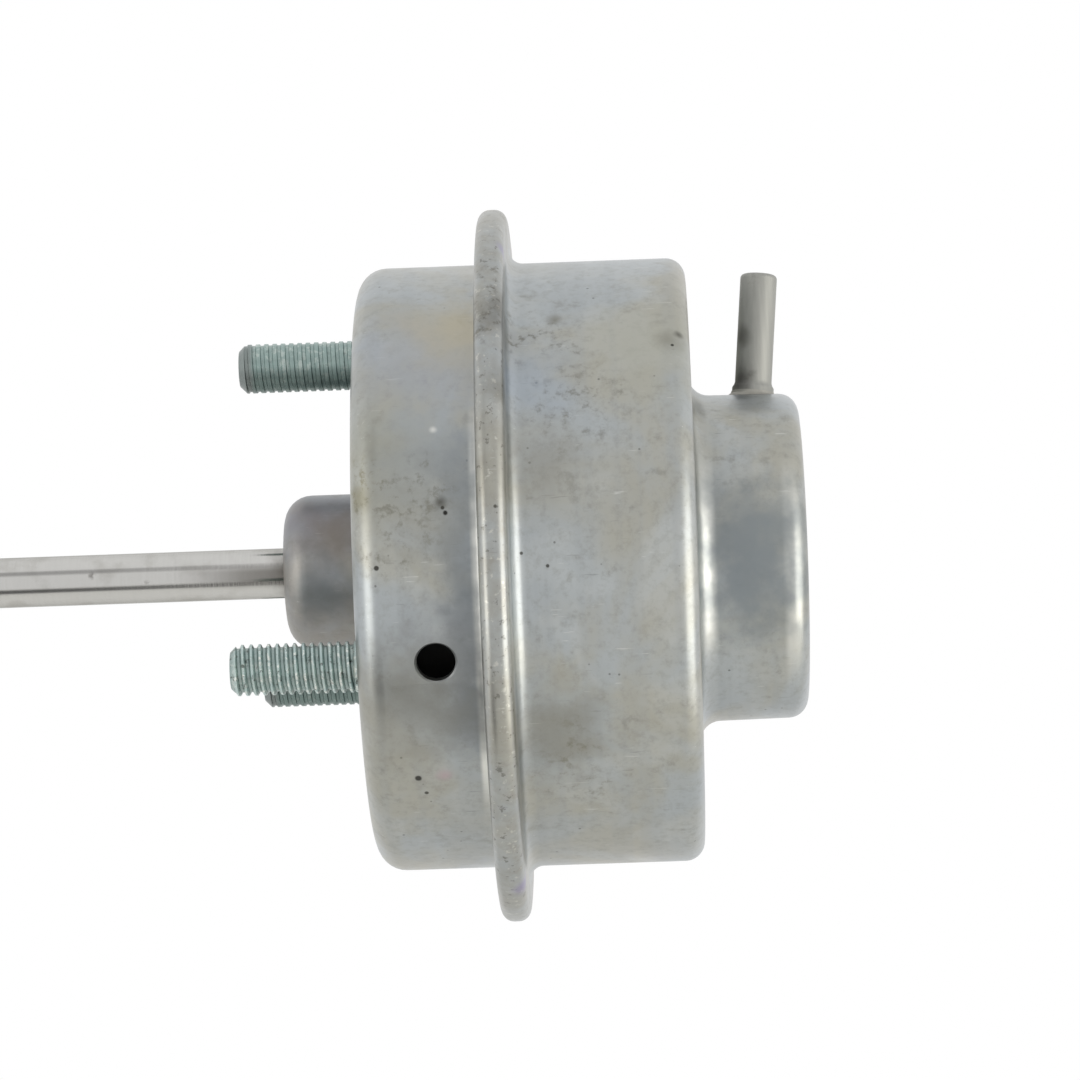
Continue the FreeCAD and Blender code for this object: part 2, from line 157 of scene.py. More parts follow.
def place(piece, turn_y=0, turn_x=0, move=(0, 0, 0)):
    """Turns the mesh about Y, then X, in degrees, and moves it in mm; the object stays put."""
    take(piece)
    bpy.ops.object.transform_apply(location=True, rotation=True, scale=True)
    bpy.ops.object.mode_set(mode="EDIT")
    bpy.ops.mesh.select_all(action="SELECT")
    for degrees, axis in ((turn_y, "Y"), (turn_x, "X")):
        if degrees:
            angle = -math.radians(degrees)
            bpy.ops.transform.rotate(value=angle, orient_axis=axis, center_override=(0, 0, 0))
    bpy.ops.transform.translate(value=[v * MM for v in move])
    bpy.ops.object.mode_set(mode="OBJECT")


def pierce(piece, radius, length, rise=0, **placing):
    """Cuts a round hole with a cylinder, whose centre is raised in mm and which is then placed."""
    bpy.ops.object.select_all(action="DESELECT")
    bpy.ops.mesh.primitive_cylinder_add(vertices=HOLE_SIDES, radius=radius * MM,
                                        depth=length * MM, location=(0, 0, rise * MM))
    hole = bpy.context.object
    place(hole, **placing)
    cut(piece, hole)


def around(angle, radius):
    """(x, y, z) in mm of a point on a circle about the axis, counted from +Z towards -Y."""
    turn = math.radians(angle)
    return 0, -radius * math.sin(turn), radius * math.cos(turn)


def linear(hex_colour):
    """sRGB hex value as the linear colour that a socket takes."""
    channels = [int(hex_colour[i:i + 2], 16) / 255 for i in (1, 3, 5)]
    return [c / 12.92 if c <= 0.04045 else ((c + 0.055) / 1.055) ** 2.4 for c in channels] + [1]


EASED = {"interpolation_type": "SMOOTHSTEP"}  # setting of a Map Range that starts and ends softly


def add(tree, kind, sockets, **settings):
    """Adds a node, with its settings, and each socket set to a value or linked to an output."""
    node = tree.nodes.new("ShaderNode" + kind)
    for name, value in settings.items():
        setattr(node, name, value)
    for name, value in sockets.items():
        if isinstance(value, bpy.types.NodeSocket):
            tree.links.new(value, node.inputs[name])
        else:
            node.inputs[name].default_value = value
    return node.outputs[0]


def material(name, metallic, roughness, colour="#808080"):
    """New material: (material, node tree, shader's sockets, Object coordinates in mm)."""
    made = bpy.data.materials.new(name)
    made.use_nodes = True
    tree = made.node_tree
    sockets = tree.nodes["Principled BSDF"].inputs
    sockets["Metallic"].default_value = metallic
    sockets["Roughness"].default_value = roughness
    sockets["Base Color"].default_value = linear(colour)
    coords = tree.nodes.new("ShaderNodeTexCoord").outputs["Object"]
    mm = add(tree, "VectorMath", {0: coords, "Scale": 1 / MM}, operation="SCALE")
    return made, tree, sockets, mm


def wear_and_painted_shade(tree, mm, colour, marks):
    """Colour with marks laid over it, some of them wear and dirt, some painted shade and painted
    dark reflection: (place in mm, radius in mm, hex colour, strength, edge).
    """
    # where a mark ends and where it is full, and how far noise moves its outline, in radii
    edges = {"soft": (1.6, 0.1), "sharp": (1.15, 0.6), "crumbly": (1.3, 0.5)}
    ragged = 1.6
    wander = add(tree, "TexNoise", {"Vector": mm, "Scale": 0.3, "Detail": 3.0})
    crumbs = add(tree, "TexNoise", {"Vector": mm, "Scale": 0.75, "Detail": 7.0,
                                    "Roughness": 0.66})
    crumbs = add(tree, "MapRange", {"Value": crumbs, "From Min": 0.50, "From Max": 0.72}, **EASED)
    for where, radius, hex_colour, strength, edge in marks:
        add(tree, "VectorMath", {0: mm, 1: where}, operation="DISTANCE")
        away = add(tree, "Math", {0: wander, 1: ragged * radius,
                                  2: tree.nodes[-1].outputs["Value"]}, operation="MULTIPLY_ADD")
        outer, inner = edges[edge]
        near = add(tree, "MapRange", {"Value": away, "From Min": (outer + ragged / 2) * radius,
                                      "From Max": (inner + ragged / 2) * radius,
                                      "To Max": strength}, **EASED)
        if edge == "crumbly":
            near = add(tree, "Math", {0: near, 1: crumbs}, operation="MULTIPLY")
        colour = add(tree, "MixRGB", {"Fac": near, "Color1": colour,
                                      "Color2": linear(hex_colour)})
    return colour


def zinc_sheet(name, marks, cool="#A9AEB0", warm="#A9A89F", dullness=(0.28, 0.42), rim=False,
               painted_highlights=()):
    """Drawn and zinc-plated steel sheet: satin grey with soft cool and warm clouds from the bath,
    faint rings from drawing, short handling scratches along the axis, fine pits, and its own marks.
    The last argument lists bands of painted highlight beside an edge: middle, half width, strength,
    top, bottom."""
    made, tree, sockets, mm = material(name, 0.92, 0.36)
    # clouds 20 mm across, patches 9 mm, rings 2 mm apart, smudges 2.4 mm, grain 1 mm and
    # scratches 0.3 mm wide and 3.6 mm long; real grain is finer and would not show
    clouds = add(tree, "TexNoise", {"Vector": mm, "Scale": 0.05, "Detail": 4.0, "Roughness": 0.55,
                                    "Distortion": 0.7})
    cloud = add(tree, "MapRange", {"Value": clouds, "From Min": 0.40, "From Max": 0.60}, **EASED)
    colour = add(tree, "MixRGB", {"Fac": cloud, "Color1": linear(cool), "Color2": linear(warm)})
    patches = add(tree, "TexNoise", {"Vector": mm, "Scale": 0.11, "Detail": 3.0, "Distortion": 0.5})
    along = add(tree, "VectorMath", {0: mm, 1: (0.5, 0.015, 0.015)}, operation="MULTIPLY")
    rings = add(tree, "TexNoise", {"Vector": along, "Scale": 1.0, "Detail": 3.0})
    smudges = add(tree, "TexNoise", {"Vector": mm, "Scale": 0.42, "Detail": 6.0,
                                     "Roughness": 0.62})
    grain = add(tree, "TexNoise", {"Vector": mm, "Scale": 0.95, "Detail": 7.0, "Roughness": 0.7})
    across = add(tree, "VectorMath", {0: mm, 1: (0.28, 3.4, 3.4)}, operation="MULTIPLY")
    lines = add(tree, "TexNoise", {"Vector": across, "Scale": 1.0, "Detail": 2.0})
    for pattern, bare, full, share, hex_colour, ramp in (
            (patches, 0.50, 0.62, 0.35, "#BABDBC", "SMOOTHSTEP"),
            (rings, 0.46, 0.66, 0.18, "#969B9F", "SMOOTHSTEP"),
            (smudges, 0.56, 0.72, 0.45, "#85857F", "SMOOTHSTEP"),
            (grain, 0.48, 0.70, 0.32, "#7E7D77", "LINEAR"),
            (lines, 0.70, 0.76, 0.40, "#7B7D7A", "SMOOTHSTEP"),
            (lines, 0.29, 0.24, 0.45, "#D5D6D2", "SMOOTHSTEP")):
        layer = add(tree, "MapRange", {"Value": pattern, "From Min": bare, "From Max": full,
                                       "To Max": share}, interpolation_type=ramp)
        colour = add(tree, "MixRGB", {"Fac": layer, "Color1": colour,
                                      "Color2": linear(hex_colour)})
    cells = add(tree, "TexVoronoi", {"Vector": mm, "Scale": 0.42})
    cell_tone = tree.nodes[-1].outputs["Color"]
    chosen = add(tree, "Math", {0: cell_tone, 1: 0.6}, operation="GREATER_THAN")
    pits = add(tree, "MapRange", {"Value": cells, "From Min": 0.085, "From Max": 0.04,
                                  "To Max": 0.6}, **EASED)
    pits = add(tree, "Math", {0: pits, 1: chosen}, operation="MULTIPLY")
    colour = add(tree, "MixRGB", {"Fac": pits, "Color1": colour, "Color2": linear("#4C4D49")})
    if rim:
        radial = add(tree, "VectorMath", {0: mm, 1: (0, 1, 1)}, operation="MULTIPLY")
        add(tree, "VectorMath", {0: radial}, operation="LENGTH")
        bead = add(tree, "MapRange", {"Value": tree.nodes[-1].outputs["Value"],
                                      "From Min": RIM_SOIL_R[0], "From Max": RIM_SOIL_R[1]},
                   **EASED)
        soil = add(tree, "MapRange", {"Value": smudges, "From Min": 0.35, "From Max": 0.7,
                                      "To Min": 0.2, "To Max": 0.75})
        soil = add(tree, "Math", {0: soil, 1: bead}, operation="MULTIPLY")
        colour = add(tree, "MixRGB", {"Fac": soil, "Color1": colour, "Color2": linear("#9A9890")})
        nicks = add(tree, "TexNoise", {"Vector": mm, "Scale": 1.1, "Detail": 5.0,
                                       "Roughness": 0.6})
        for bare, full, hex_colour in ((0.60, 0.68, "#C9C8C0"), (0.40, 0.33, "#62605A")):
            nick = add(tree, "MapRange", {"Value": nicks, "From Min": bare, "From Max": full,
                                          "To Max": 0.6}, **EASED)
            nick = add(tree, "Math", {0: nick, 1: bead}, operation="MULTIPLY")
            colour = add(tree, "MixRGB", {"Fac": nick, "Color1": colour,
                                          "Color2": linear(hex_colour)})
    add(tree, "SeparateXYZ", {0: mm})
    along_x, height = tree.nodes[-1].outputs["X"], tree.nodes[-1].outputs["Z"]
    # painted highlight: near-white bands beside an edge stand in for the lamps' reflection in the
    # rounded roots and corners
    for middle, half_width, brightness, top, bottom in painted_highlights:
        off = add(tree, "Math", {0: along_x, 1: middle}, operation="SUBTRACT")
        off = add(tree, "Math", {0: off}, operation="ABSOLUTE")
        band = add(tree, "MapRange", {"Value": off, "From Min": 1.4 * half_width,
                                      "From Max": 0.4 * half_width, "To Max": brightness}, **EASED)
        for bare_z, full_z in ((top + BAND_FADE, top - BAND_FADE),
                               (bottom - BAND_FADE, bottom + BAND_FADE)):
            part = add(tree, "MapRange", {"Value": height, "From Min": bare_z,
                                          "From Max": full_z}, **EASED)
            band = add(tree, "Math", {0: band, 1: part}, operation="MULTIPLY")
        colour = add(tree, "MixRGB", {"Fac": band, "Color1": colour, "Color2": linear("#EDEDE6")})
    colour = wear_and_painted_shade(tree, mm, colour, marks)
    tree.links.new(colour, sockets["Base Color"])
    dull = add(tree, "MapRange", {"Value": patches, "From Min": 0.3, "From Max": 0.7,
                                  "To Min": dullness[0], "To Max": dullness[1]})
    tree.links.new(dull, sockets["Roughness"])
    dents = add(tree, "TexNoise", {"Vector": mm, "Scale": 0.12, "Detail": 2.0})
    rough = add(tree, "Math", {0: smudges, 1: 0.08, 2: dents}, operation="MULTIPLY_ADD")
    bump = add(tree, "Bump", {"Height": rough, "Strength": 1.0, "Distance": 0.10 * MM})
    tree.links.new(bump, sockets["Normal"])
    return made


# Radii between which the crimp's dirt sets in, and the length over which a band of painted
# highlight fades
RIM_SOIL_R = (37.6, 38.8)
BAND_FADE = 5
# Painted highlight in the front cup's root beside the bead
FRONT_PAINTED_HIGHLIGHTS = [(14.1, 0.6, 0.95, 15, -25)]
FRONT_MARKS = [
    ((9.3, -27.1, 23.7), 8.0, "#9FA6B2", 0.55, "soft"),
    ((12.8, -23.6, 27.2), 6.0, "#B5AC92", 0.60, "soft"),
    ((4.0, -33.0, 13.0), 7.0, "#A5A598", 0.50, "soft"),
    ((9.5, -32.6, 13.0), 6.0, "#A0A8B0", 0.50, "soft"),
    ((12.9, -30.8, -18.5), 3.4, "#6F7478", 0.60, "soft"),
    ((12.9, -32.8, -14.5), 3.4, "#6B7074", 0.65, "soft"),
    ((12.9, -34.4, -10.5), 3.4, "#6B7074", 0.65, "soft"),
    ((12.9, -35.4, -6.0), 3.4, "#6F7478", 0.60, "soft"),
    ((12.9, -35.9, -1.5), 3.4, "#71777B", 0.60, "soft"),
    ((12.9, -35.9, 3.0), 3.2, "#767C81", 0.55, "soft"),
    ((12.6, -35.2, 7.5), 3.2, "#7D848A", 0.55, "soft"),
    ((12.4, -34.0, 11.5), 3.2, "#858C92", 0.50, "soft"),
    ((9.0, -34.6, -10.0), 5.5, "#85888A", 0.50, "soft"),
    ((5.5, -32.4, -15.6), 7.0, "#8E8D85", 0.60, "soft"),
    ((0.6, -34.2, 10.3), 3.2, "#6F6849", 0.80, "crumbly"),
    ((0.4, -34.6, 8.6), 1.6, "#7D7654", 0.60, "soft"),
    ((4.5, -35.8, 3.6), 5.0, "#6E6D63", 0.85, "crumbly"),
    ((8.3, -35.0, 8.6), 4.0, "#6E6D63", 0.85, "crumbly"),
    ((7.0, -35.4, 5.6), 6.0, "#94938A", 0.45, "soft"),
    ((10.8, -35.4, 6.3), 0.34, "#262522", 0.95, "sharp"),
    ((10.5, -35.4, 6.9), 0.26, "#3A3833", 0.90, "sharp"),
    ((10.3, -35.2, 7.5), 0.7, "#4A4943", 0.70, "soft"),
    ((2.9, -36.0, 0.4), 0.30, "#33322E", 0.90, "sharp"),
    ((9.6, -32.4, 15.7), 0.40, "#DEDEDA", 0.75, "soft"),
    ((9.3, -27.4, -23.3), 0.9, "#B79DA6", 0.50, "soft"),
    ((6.3, -27.2, -23.6), 0.45, "#2E2D2A", 0.90, "sharp"),
    ((7.1, -25.5, -25.4), 0.30, "#3A3934", 0.85, "sharp"),
]

front_cup = turned("front_cup_piece", rounded([
    (0, BOSS_R + FIT),
    (0, CAN_R, FRONT_CORNER_R),
    (FLANGE_X, CAN_R, FRONT_ROOT_R),
    (FLANGE_X, FLANGE_R),
    (FLANGE_X + FLANGE_T, FLANGE_R),
    (FLANGE_X + FLANGE_T, CAN_IN_R, FRONT_ROOT_R + SHEET),
    (SHEET, CAN_IN_R, FRONT_CORNER_R - SHEET),
    (SHEET, BOSS_R + FIT),
    (0, BOSS_R + FIT),
]))
for angle in STUD_ANGLES.values():
    pierce(front_cup, STUD_COLLAR_R + FIT, THROUGH, turn_y=90, move=around(angle, STUD_CIRCLE_R))
pierce(front_cup, VENT_R, THROUGH, rise=CAN_R, turn_x=VENT_ANGLE, move=(VENT_X, 0, 0))
bpy.ops.object.select_all(action="DESELECT")
bpy.ops.mesh.primitive_cone_add(vertices=HOLE_SIDES, radius1=(VENT_R - SHEET) * MM,
                                radius2=(VENT_R + SHEET) * MM, depth=2 * SHEET * MM,
                                location=(0, 0, (CAN_R - VENT_SINK) * MM))
sink = bpy.context.object
place(sink, turn_x=VENT_ANGLE, move=(VENT_X, 0, 0))
cut(front_cup, sink)
close_up(front_cup)
smooth(front_cup)
front_cup.data.materials.append(zinc_sheet("zinc-plated sheet, front cup", FRONT_MARKS,
                                           painted_highlights=FRONT_PAINTED_HIGHLIGHTS))
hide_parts("front_cup")
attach(front_cup, "canister")

# Guide boss
# The rounded boss round the rod's exit, drawn from the same sheet and put through the front cup
# from inside; its plating has taken faint brown and blue-grey tints. The bronze bush, its wiper and
# the washer behind it sit inside, and a rubber stop ring lies on the cup's floor.
BOSS_LENGTH, BOSS_CORNER_R, BOSS_FLANGE_R = 10.0, 3.2, 14.0
BOSS_MOUTH_R = 3.4
BOSS_MARKS = [
    ((-6.0, -6.0, 6.5), 4.5, "#828086", 0.70, "soft"),
    ((-3.0, -8.0, 4.5), 3.5, "#7E766D", 0.70, "soft"),
    ((-1.0, -9.0, 0.0), 2.0, "#9C9A92", 0.60, "soft"),
    ((-5.5, -8.6, -2.5), 4.0, "#6C7276", 0.70, "soft"),
    ((-9.6, -3.0, 3.0), 2.0, "#4A443C", 0.80, "crumbly"),
    ((-9.9, -2.0, -3.2), 1.6, "#5A554C", 0.60, "soft"),
]

boss = turned("guide_boss_piece", rounded([
    (-BOSS_LENGTH, BOSS_MOUTH_R),
    (-BOSS_LENGTH, BOSS_R, BOSS_CORNER_R),
    (SHEET, BOSS_R),
    (SHEET, BOSS_FLANGE_R),
    (2 * SHEET, BOSS_FLANGE_R),
    (2 * SHEET, BOSS_R - SHEET, SHEET),
    (SHEET - BOSS_LENGTH, BOSS_R - SHEET, BOSS_CORNER_R - SHEET),
    (SHEET - BOSS_LENGTH, BOSS_MOUTH_R),
    (-BOSS_LENGTH, BOSS_MOUTH_R),
]), sides=160)
smooth(boss)
boss.data.materials.append(zinc_sheet("zinc-plated sheet, guide boss", BOSS_MARKS,
                                      cool="#989B9F", warm="#9A9792", dullness=(0.42, 0.52)))
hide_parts("guide_housing")
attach(boss, "canister")

# Sintered bronze: pressed powder soaked in oil, brown-gold with fine dark pores.
bronze, tree, sockets, mm = material("sintered bronze", 0.85, 0.45)
pores = add(tree, "TexVoronoi", {"Vector": mm, "Scale": 3.0})
pore = add(tree, "MapRange", {"Value": pores, "From Min": 0.12, "From Max": 0.3})
colour = add(tree, "MixRGB", {"Fac": pore, "Color1": linear("#5A4028"),
                              "Color2": linear("#A77F52")})
tree.links.new(colour, sockets["Base Color"])


def clouded(name, metallic, roughness, first, second, noise):
    """New material whose colour clouds between two hex colours; noise sets the clouds."""
    made, tree, sockets, mm = material(name, metallic, roughness)
    clouds = add(tree, "TexNoise", {"Vector": mm, **noise})
    colour = add(tree, "MixRGB", {"Fac": clouds, "Color1": linear(first),
                                  "Color2": linear(second)})
    tree.links.new(colour, sockets["Base Color"])
    return made, tree, sockets, mm


# Moulded black rubber: matt, faintly grey with talc, no metal.
rubber = clouded("moulded black rubber", 0.0, 0.7, "#141414", "#2C2B29",
                 {"Scale": 0.6, "Detail": 6.0})[0]

# Pressed steel inside the can: blank metal with a thin film of oil and faint rolling lines.
inner_steel, tree, sockets, mm = material("oiled pressed steel", 0.95, 0.32)
rolled = add(tree, "VectorMath", {0: mm, 1: (0.4, 0.08, 2.0)}, operation="MULTIPLY")
rolling = add(tree, "TexNoise", {"Vector": rolled, "Scale": 1.0, "Detail": 4.0})
colour = add(tree, "MixRGB", {"Fac": rolling, "Color1": linear("#8C8F90"),
                              "Color2": linear("#B6B7B4")})
tree.links.new(colour, sockets["Base Color"])

# Frame pieces that stay as they are and take one of the finishes above.
for node, finish in (("guide_bush", bronze), ("wiper_ring", rubber),
                     ("bush_retainer", inner_steel), ("stop_ring", rubber)):
    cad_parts[node].data.materials.clear()
    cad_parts[node].data.materials.append(finish)

# Studs
# Three M6 x 1 studs with rolled threads, heads inside the cup and collars pressed into its
# holes. Clear blue zinc plating gives the crests a pale green-blue shine; the roots carry painted
# shade.
STUD_R, STUD_LENGTH, STUD_NECK = 2.95, 15.0, 0.6
STUD_HEAD_R, STUD_HEAD_T, NECK_BEVEL = 4.6, 1.2, 0.25
THREAD_PITCH, THREAD_DEPTH, THREAD_CREST, THREAD_FLANK = 1.0, 0.56, 0.2, 30.0
THREAD_CHAMFER = 0.8
THREAD_SIDES = 56


def trim(piece, from_x, to_x):
    """Cuts the piece off square at both places along the axis and closes the cuts."""
    take(piece)
    bpy.ops.object.mode_set(mode="EDIT")
    for x, outer, inner in ((to_x, True, False), (from_x, False, True)):
        bpy.ops.mesh.select_all(action="SELECT")
        bpy.ops.mesh.bisect(plane_co=(x * MM, 0, 0), plane_no=(1, 0, 0), use_fill=True,
                            threshold=SNAP * MM, clear_outer=outer, clear_inner=inner)
    bpy.ops.object.mode_set(mode="OBJECT")
    close_up(piece)


def threaded(name, start_x, length, depth=THREAD_DEPTH, crest=THREAD_CREST):
    """Right-hand thread cut flat at both ends, running towards -X from start_x."""
    flank = depth * math.tan(math.radians(THREAD_FLANK))
    root_r = STUD_R - depth
    # three turns more than the length holds, half of them past each end, for the flat cuts
    turns = math.ceil(length / THREAD_PITCH) + 3
    first = start_x - length - 1.5 * THREAD_PITCH
    piece = drawn(name, [
        (first, STUD_R),
        (first + flank, root_r),
        (first + THREAD_PITCH - crest - flank, root_r),
        (first + THREAD_PITCH - crest, STUD_R),
        (first + THREAD_PITCH, STUD_R),
    ])
    apply(piece, "SCREW", axis="X", angle=2 * math.pi, screw_offset=THREAD_PITCH * MM,
          iterations=turns, steps=THREAD_SIDES, render_steps=THREAD_SIDES,
          use_merge_vertices=True, merge_threshold=SNAP * MM)
    close_up(piece)
    tip_x = start_x - length
    trim(piece, tip_x, start_x)
    envelope = turned("chamfer", [
        (tip_x, 0), (tip_x, STUD_R - THREAD_CHAMFER), (tip_x + THREAD_CHAMFER, STUD_R + SNAP),
        (start_x + 1, STUD_R + SNAP), (start_x + 1, 0),
    ], sides=THREAD_SIDES)
    cut(piece, envelope, "INTERSECT")
    return piece


def mark_grooves(piece):
    """Stores how deep each point lies below the thread's crest, 0 to 1, for the painted shade in
    the roots.
    """
    depth = piece.data.attributes.new("groove", "FLOAT", "POINT")
    for vertex, value in zip(piece.data.vertices, depth.data):
        below = STUD_R - math.hypot(vertex.co.y, vertex.co.z) / MM
        value.value = min(1, max(0, below / THREAD_DEPTH))


def zinc_plating(name, pale, deep, glint_share, clogged_with_painted_shade):
    """Clear blue zinc on a rolled thread, with glints 0.8 mm and grime 0.6 mm across; a clogged
    thread is duller, has painted shade on its underside and is grey at its tip."""
    made, tree, sockets, mm = material(name, 0.9, 0.36)
    add(tree, "Attribute", {}, attribute_name="groove")
    groove = tree.nodes[-1].outputs["Fac"]
    tint = add(tree, "TexNoise", {"Vector": mm, "Scale": 0.5, "Detail": 5.0})
    colour = add(tree, "MixRGB", {"Fac": tint, "Color1": linear(pale), "Color2": linear(deep)})
    shine = add(tree, "TexNoise", {"Vector": mm, "Scale": 1.3, "Detail": 4.0, "Roughness": 0.7})
    glint = add(tree, "MapRange", {"Value": shine, "From Min": 0.53, "From Max": 0.60,
                                   "To Max": glint_share}, **EASED)
    colour = add(tree, "MixRGB", {"Fac": glint, "Color1": colour, "Color2": linear("#EEF0EA")})
    # painted shade: the thread's roots darker the deeper they lie
    colour = add(tree, "MixRGB", {"Fac": groove, "Color1": colour, "Color2": linear("#8C9C99")})
    grime = add(tree, "TexNoise", {"Vector": mm, "Scale": 1.6, "Detail": 7.0, "Roughness": 0.7})
    speck = add(tree, "MapRange", {"Value": grime, "From Min": 0.57, "From Max": 0.64,
                                   "To Max": 0.3 if clogged_with_painted_shade else 0.85}, **EASED)
    colour = add(tree, "MixRGB", {"Fac": speck, "Color1": colour, "Color2": linear("#4A4F49")})
    if clogged_with_painted_shade:
        # painted shade: the underside is dark below z = 24 mm; and the tip is bare grey beyond x =
        # -13 mm
        add(tree, "SeparateXYZ", {0: mm})
        along_x, height = tree.nodes[-1].outputs["X"], tree.nodes[-1].outputs["Z"]
        for way, bare, full, share, hex_colour in ((height, 25.0, 23.9, 0.60, "#566562"),
                                                   (along_x, -12.9, -13.8, 0.70, "#7E8180")):
            shade = add(tree, "MapRange", {"Value": way, "From Min": bare, "From Max": full,
                                           "To Max": share}, **EASED)
            colour = add(tree, "MixRGB", {"Fac": shade, "Color1": colour,
                                          "Color2": linear(hex_colour)})
    tree.links.new(colour, sockets["Base Color"])
    return made


clear_zinc = zinc_plating("blue zinc plating on a rolled thread", "#C6D1CA", "#A6BDBF",
                          glint_share=0.80, clogged_with_painted_shade=False)
dull_zinc = zinc_plating("dull blue zinc plating on a clogged thread", "#A3B4AF", "#8BA09E",
                         glint_share=0.25, clogged_with_painted_shade=True)
# Nodes, thread depth, crest width and finish. The front stud's thread stands clear and the
# others' is clogged, with painted shade on the underside.
STUD_THREADS = (
    (("stud_front",), 0.42, 0.24, clear_zinc),
    (("stud_upper", "stud_rear"), 0.17, 0.46, dull_zinc),
)

for nodes, depth, crest, finish in STUD_THREADS:
    stud = threaded("stud", -STUD_NECK, STUD_LENGTH - STUD_NECK, depth, crest)
    shank = turned("shank", [
        (SHEET + STUD_HEAD_T, 0), (SHEET + STUD_HEAD_T, STUD_HEAD_R), (SHEET, STUD_HEAD_R),
        (SHEET, STUD_COLLAR_R), (0, STUD_COLLAR_R), (0, STUD_R), (-STUD_NECK, STUD_R),
        (-STUD_NECK - NECK_BEVEL, STUD_R - NECK_BEVEL), (-STUD_NECK - NECK_BEVEL, 0),
    ], sides=THREAD_SIDES)
    cut(stud, shank, "UNION")
    close_up(stud)
    mark_grooves(stud)
    smooth(stud, 40)
    stud.data.materials.append(finish)
    for node in nodes:
        copy = stud.copy()
        copy.data = stud.data.copy()
        copy.name = node + "_piece"
        bpy.context.collection.objects.link(copy)
        place(copy, move=around(STUD_ANGLES[node], STUD_CIRCLE_R))
        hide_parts(node)
        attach(copy, "canister")
    bpy.data.objects.remove(stud)

# Push rod
# A 6 mm ground and polished steel rod, bright and smooth, with a rivet head behind the piston
# and a cut M6 x 1 thread at the far end for the lock nut and the rod end.
ROD_R, ROD_PLAIN, ROD_THREAD = 3.0, 60.0, 22.0
PLATE_X, RIVET_X = 3.2, 7.4
SPIGOT_R, RIVET_R, RIVET_T = 2.2, 3.9, 1.5
ROD_BEVEL, THREAD_OVERLAP = 0.3, 0.2
# Where the painted dark reflection along the rod's middle lies, in mm
PAINTED_BAND_FROM_X, PAINTED_BAND_TO_X, PAINTED_BAND_Z = -25, -12, -0.2
PAINTED_BAND_HALF_HEIGHT, PAINTED_BAND_FULL = 1.7, 0.4

# Ground steel: nearly a mirror, with fine grinding lines, a thin film of oil in patches and a
# painted dark reflection beside the boss: a stripe along the rod's middle and three dark spots.
bright_rod, tree, sockets, mm = material("ground steel rod", 1.0, 0.16)
sockets["Specular Tint"].default_value = linear("#CFCFCD")
grinding = add(tree, "VectorMath", {0: mm, 1: (5.0, 0.25, 0.25)}, operation="MULTIPLY")
hairlines = add(tree, "TexNoise", {"Vector": grinding, "Scale": 1.0, "Detail": 5.0})
colour = add(tree, "MixRGB", {"Fac": hairlines, "Color1": linear("#C6C5C2"),
                              "Color2": linear("#D0CFCC")})
film = add(tree, "TexNoise", {"Vector": mm, "Scale": 0.22, "Detail": 6.0})
smear = add(tree, "MapRange", {"Value": film, "From Min": 0.5, "From Max": 0.68, "To Max": 0.4},
            **EASED)
colour = add(tree, "MixRGB", {"Fac": smear, "Color1": colour, "Color2": linear("#A8A6A0")})
add(tree, "SeparateXYZ", {0: mm})
along_x, height = tree.nodes[-1].outputs["X"], tree.nodes[-1].outputs["Z"]
# painted dark reflection: a dark stripe along the rod's middle beside the boss
painted_band = add(tree, "MapRange", {"Value": along_x, "From Min": PAINTED_BAND_FROM_X,
                               "From Max": PAINTED_BAND_TO_X, "To Max": 0.7}, **EASED)
off = add(tree, "Math", {0: height, 1: PAINTED_BAND_Z}, operation="SUBTRACT")
off = add(tree, "Math", {0: off}, operation="ABSOLUTE")
stripe = add(tree, "MapRange", {"Value": off, "From Min": PAINTED_BAND_HALF_HEIGHT,
                                "From Max": PAINTED_BAND_FULL}, **EASED)
painted_band = add(tree, "Math", {0: painted_band, 1: stripe}, operation="MULTIPLY")
colour = add(tree, "MixRGB", {"Fac": painted_band, "Color1": colour, "Color2": linear("#5A554E")})
# three dark spots along the rod, painted dark reflection as well
colour = wear_and_painted_shade(tree, mm, colour, [
    ((-9.0, -2.0, 0.0), 2.6, "#4B463E", 0.75, "soft"),
    ((-33.0, -2.9, 0.5), 0.6, "#5A5650", 0.60, "crumbly"),
    ((-26.5, -2.9, -0.4), 0.5, "#5A5650", 0.60, "crumbly"),
])
tree.links.new(colour, sockets["Base Color"])
tree.links.new(add(tree, "Bump", {"Height": hairlines, "Strength": 0.35, "Distance": 0.02 * MM}),
               sockets["Normal"])

rod = threaded("push_rod_piece", -ROD_PLAIN, ROD_THREAD)
shaft = turned("shaft", rounded([
    (RIVET_X + RIVET_T, 0), (RIVET_X + RIVET_T, RIVET_R, RIVET_T / 2), (RIVET_X, RIVET_R),
    (RIVET_X, SPIGOT_R), (PLATE_X, SPIGOT_R), (PLATE_X, ROD_R), (-ROD_PLAIN + ROD_BEVEL, ROD_R),
    (-ROD_PLAIN, ROD_R - ROD_BEVEL),
    (-ROD_PLAIN - THREAD_OVERLAP, ROD_R - ROD_BEVEL - THREAD_OVERLAP),
    (-ROD_PLAIN - THREAD_OVERLAP, 0),
]), sides=96)
cut(rod, shaft, "UNION")
close_up(rod)
smooth(rod, 40)
rod.data.materials.append(bright_rod)
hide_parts("rod")
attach(rod, "push_rod")

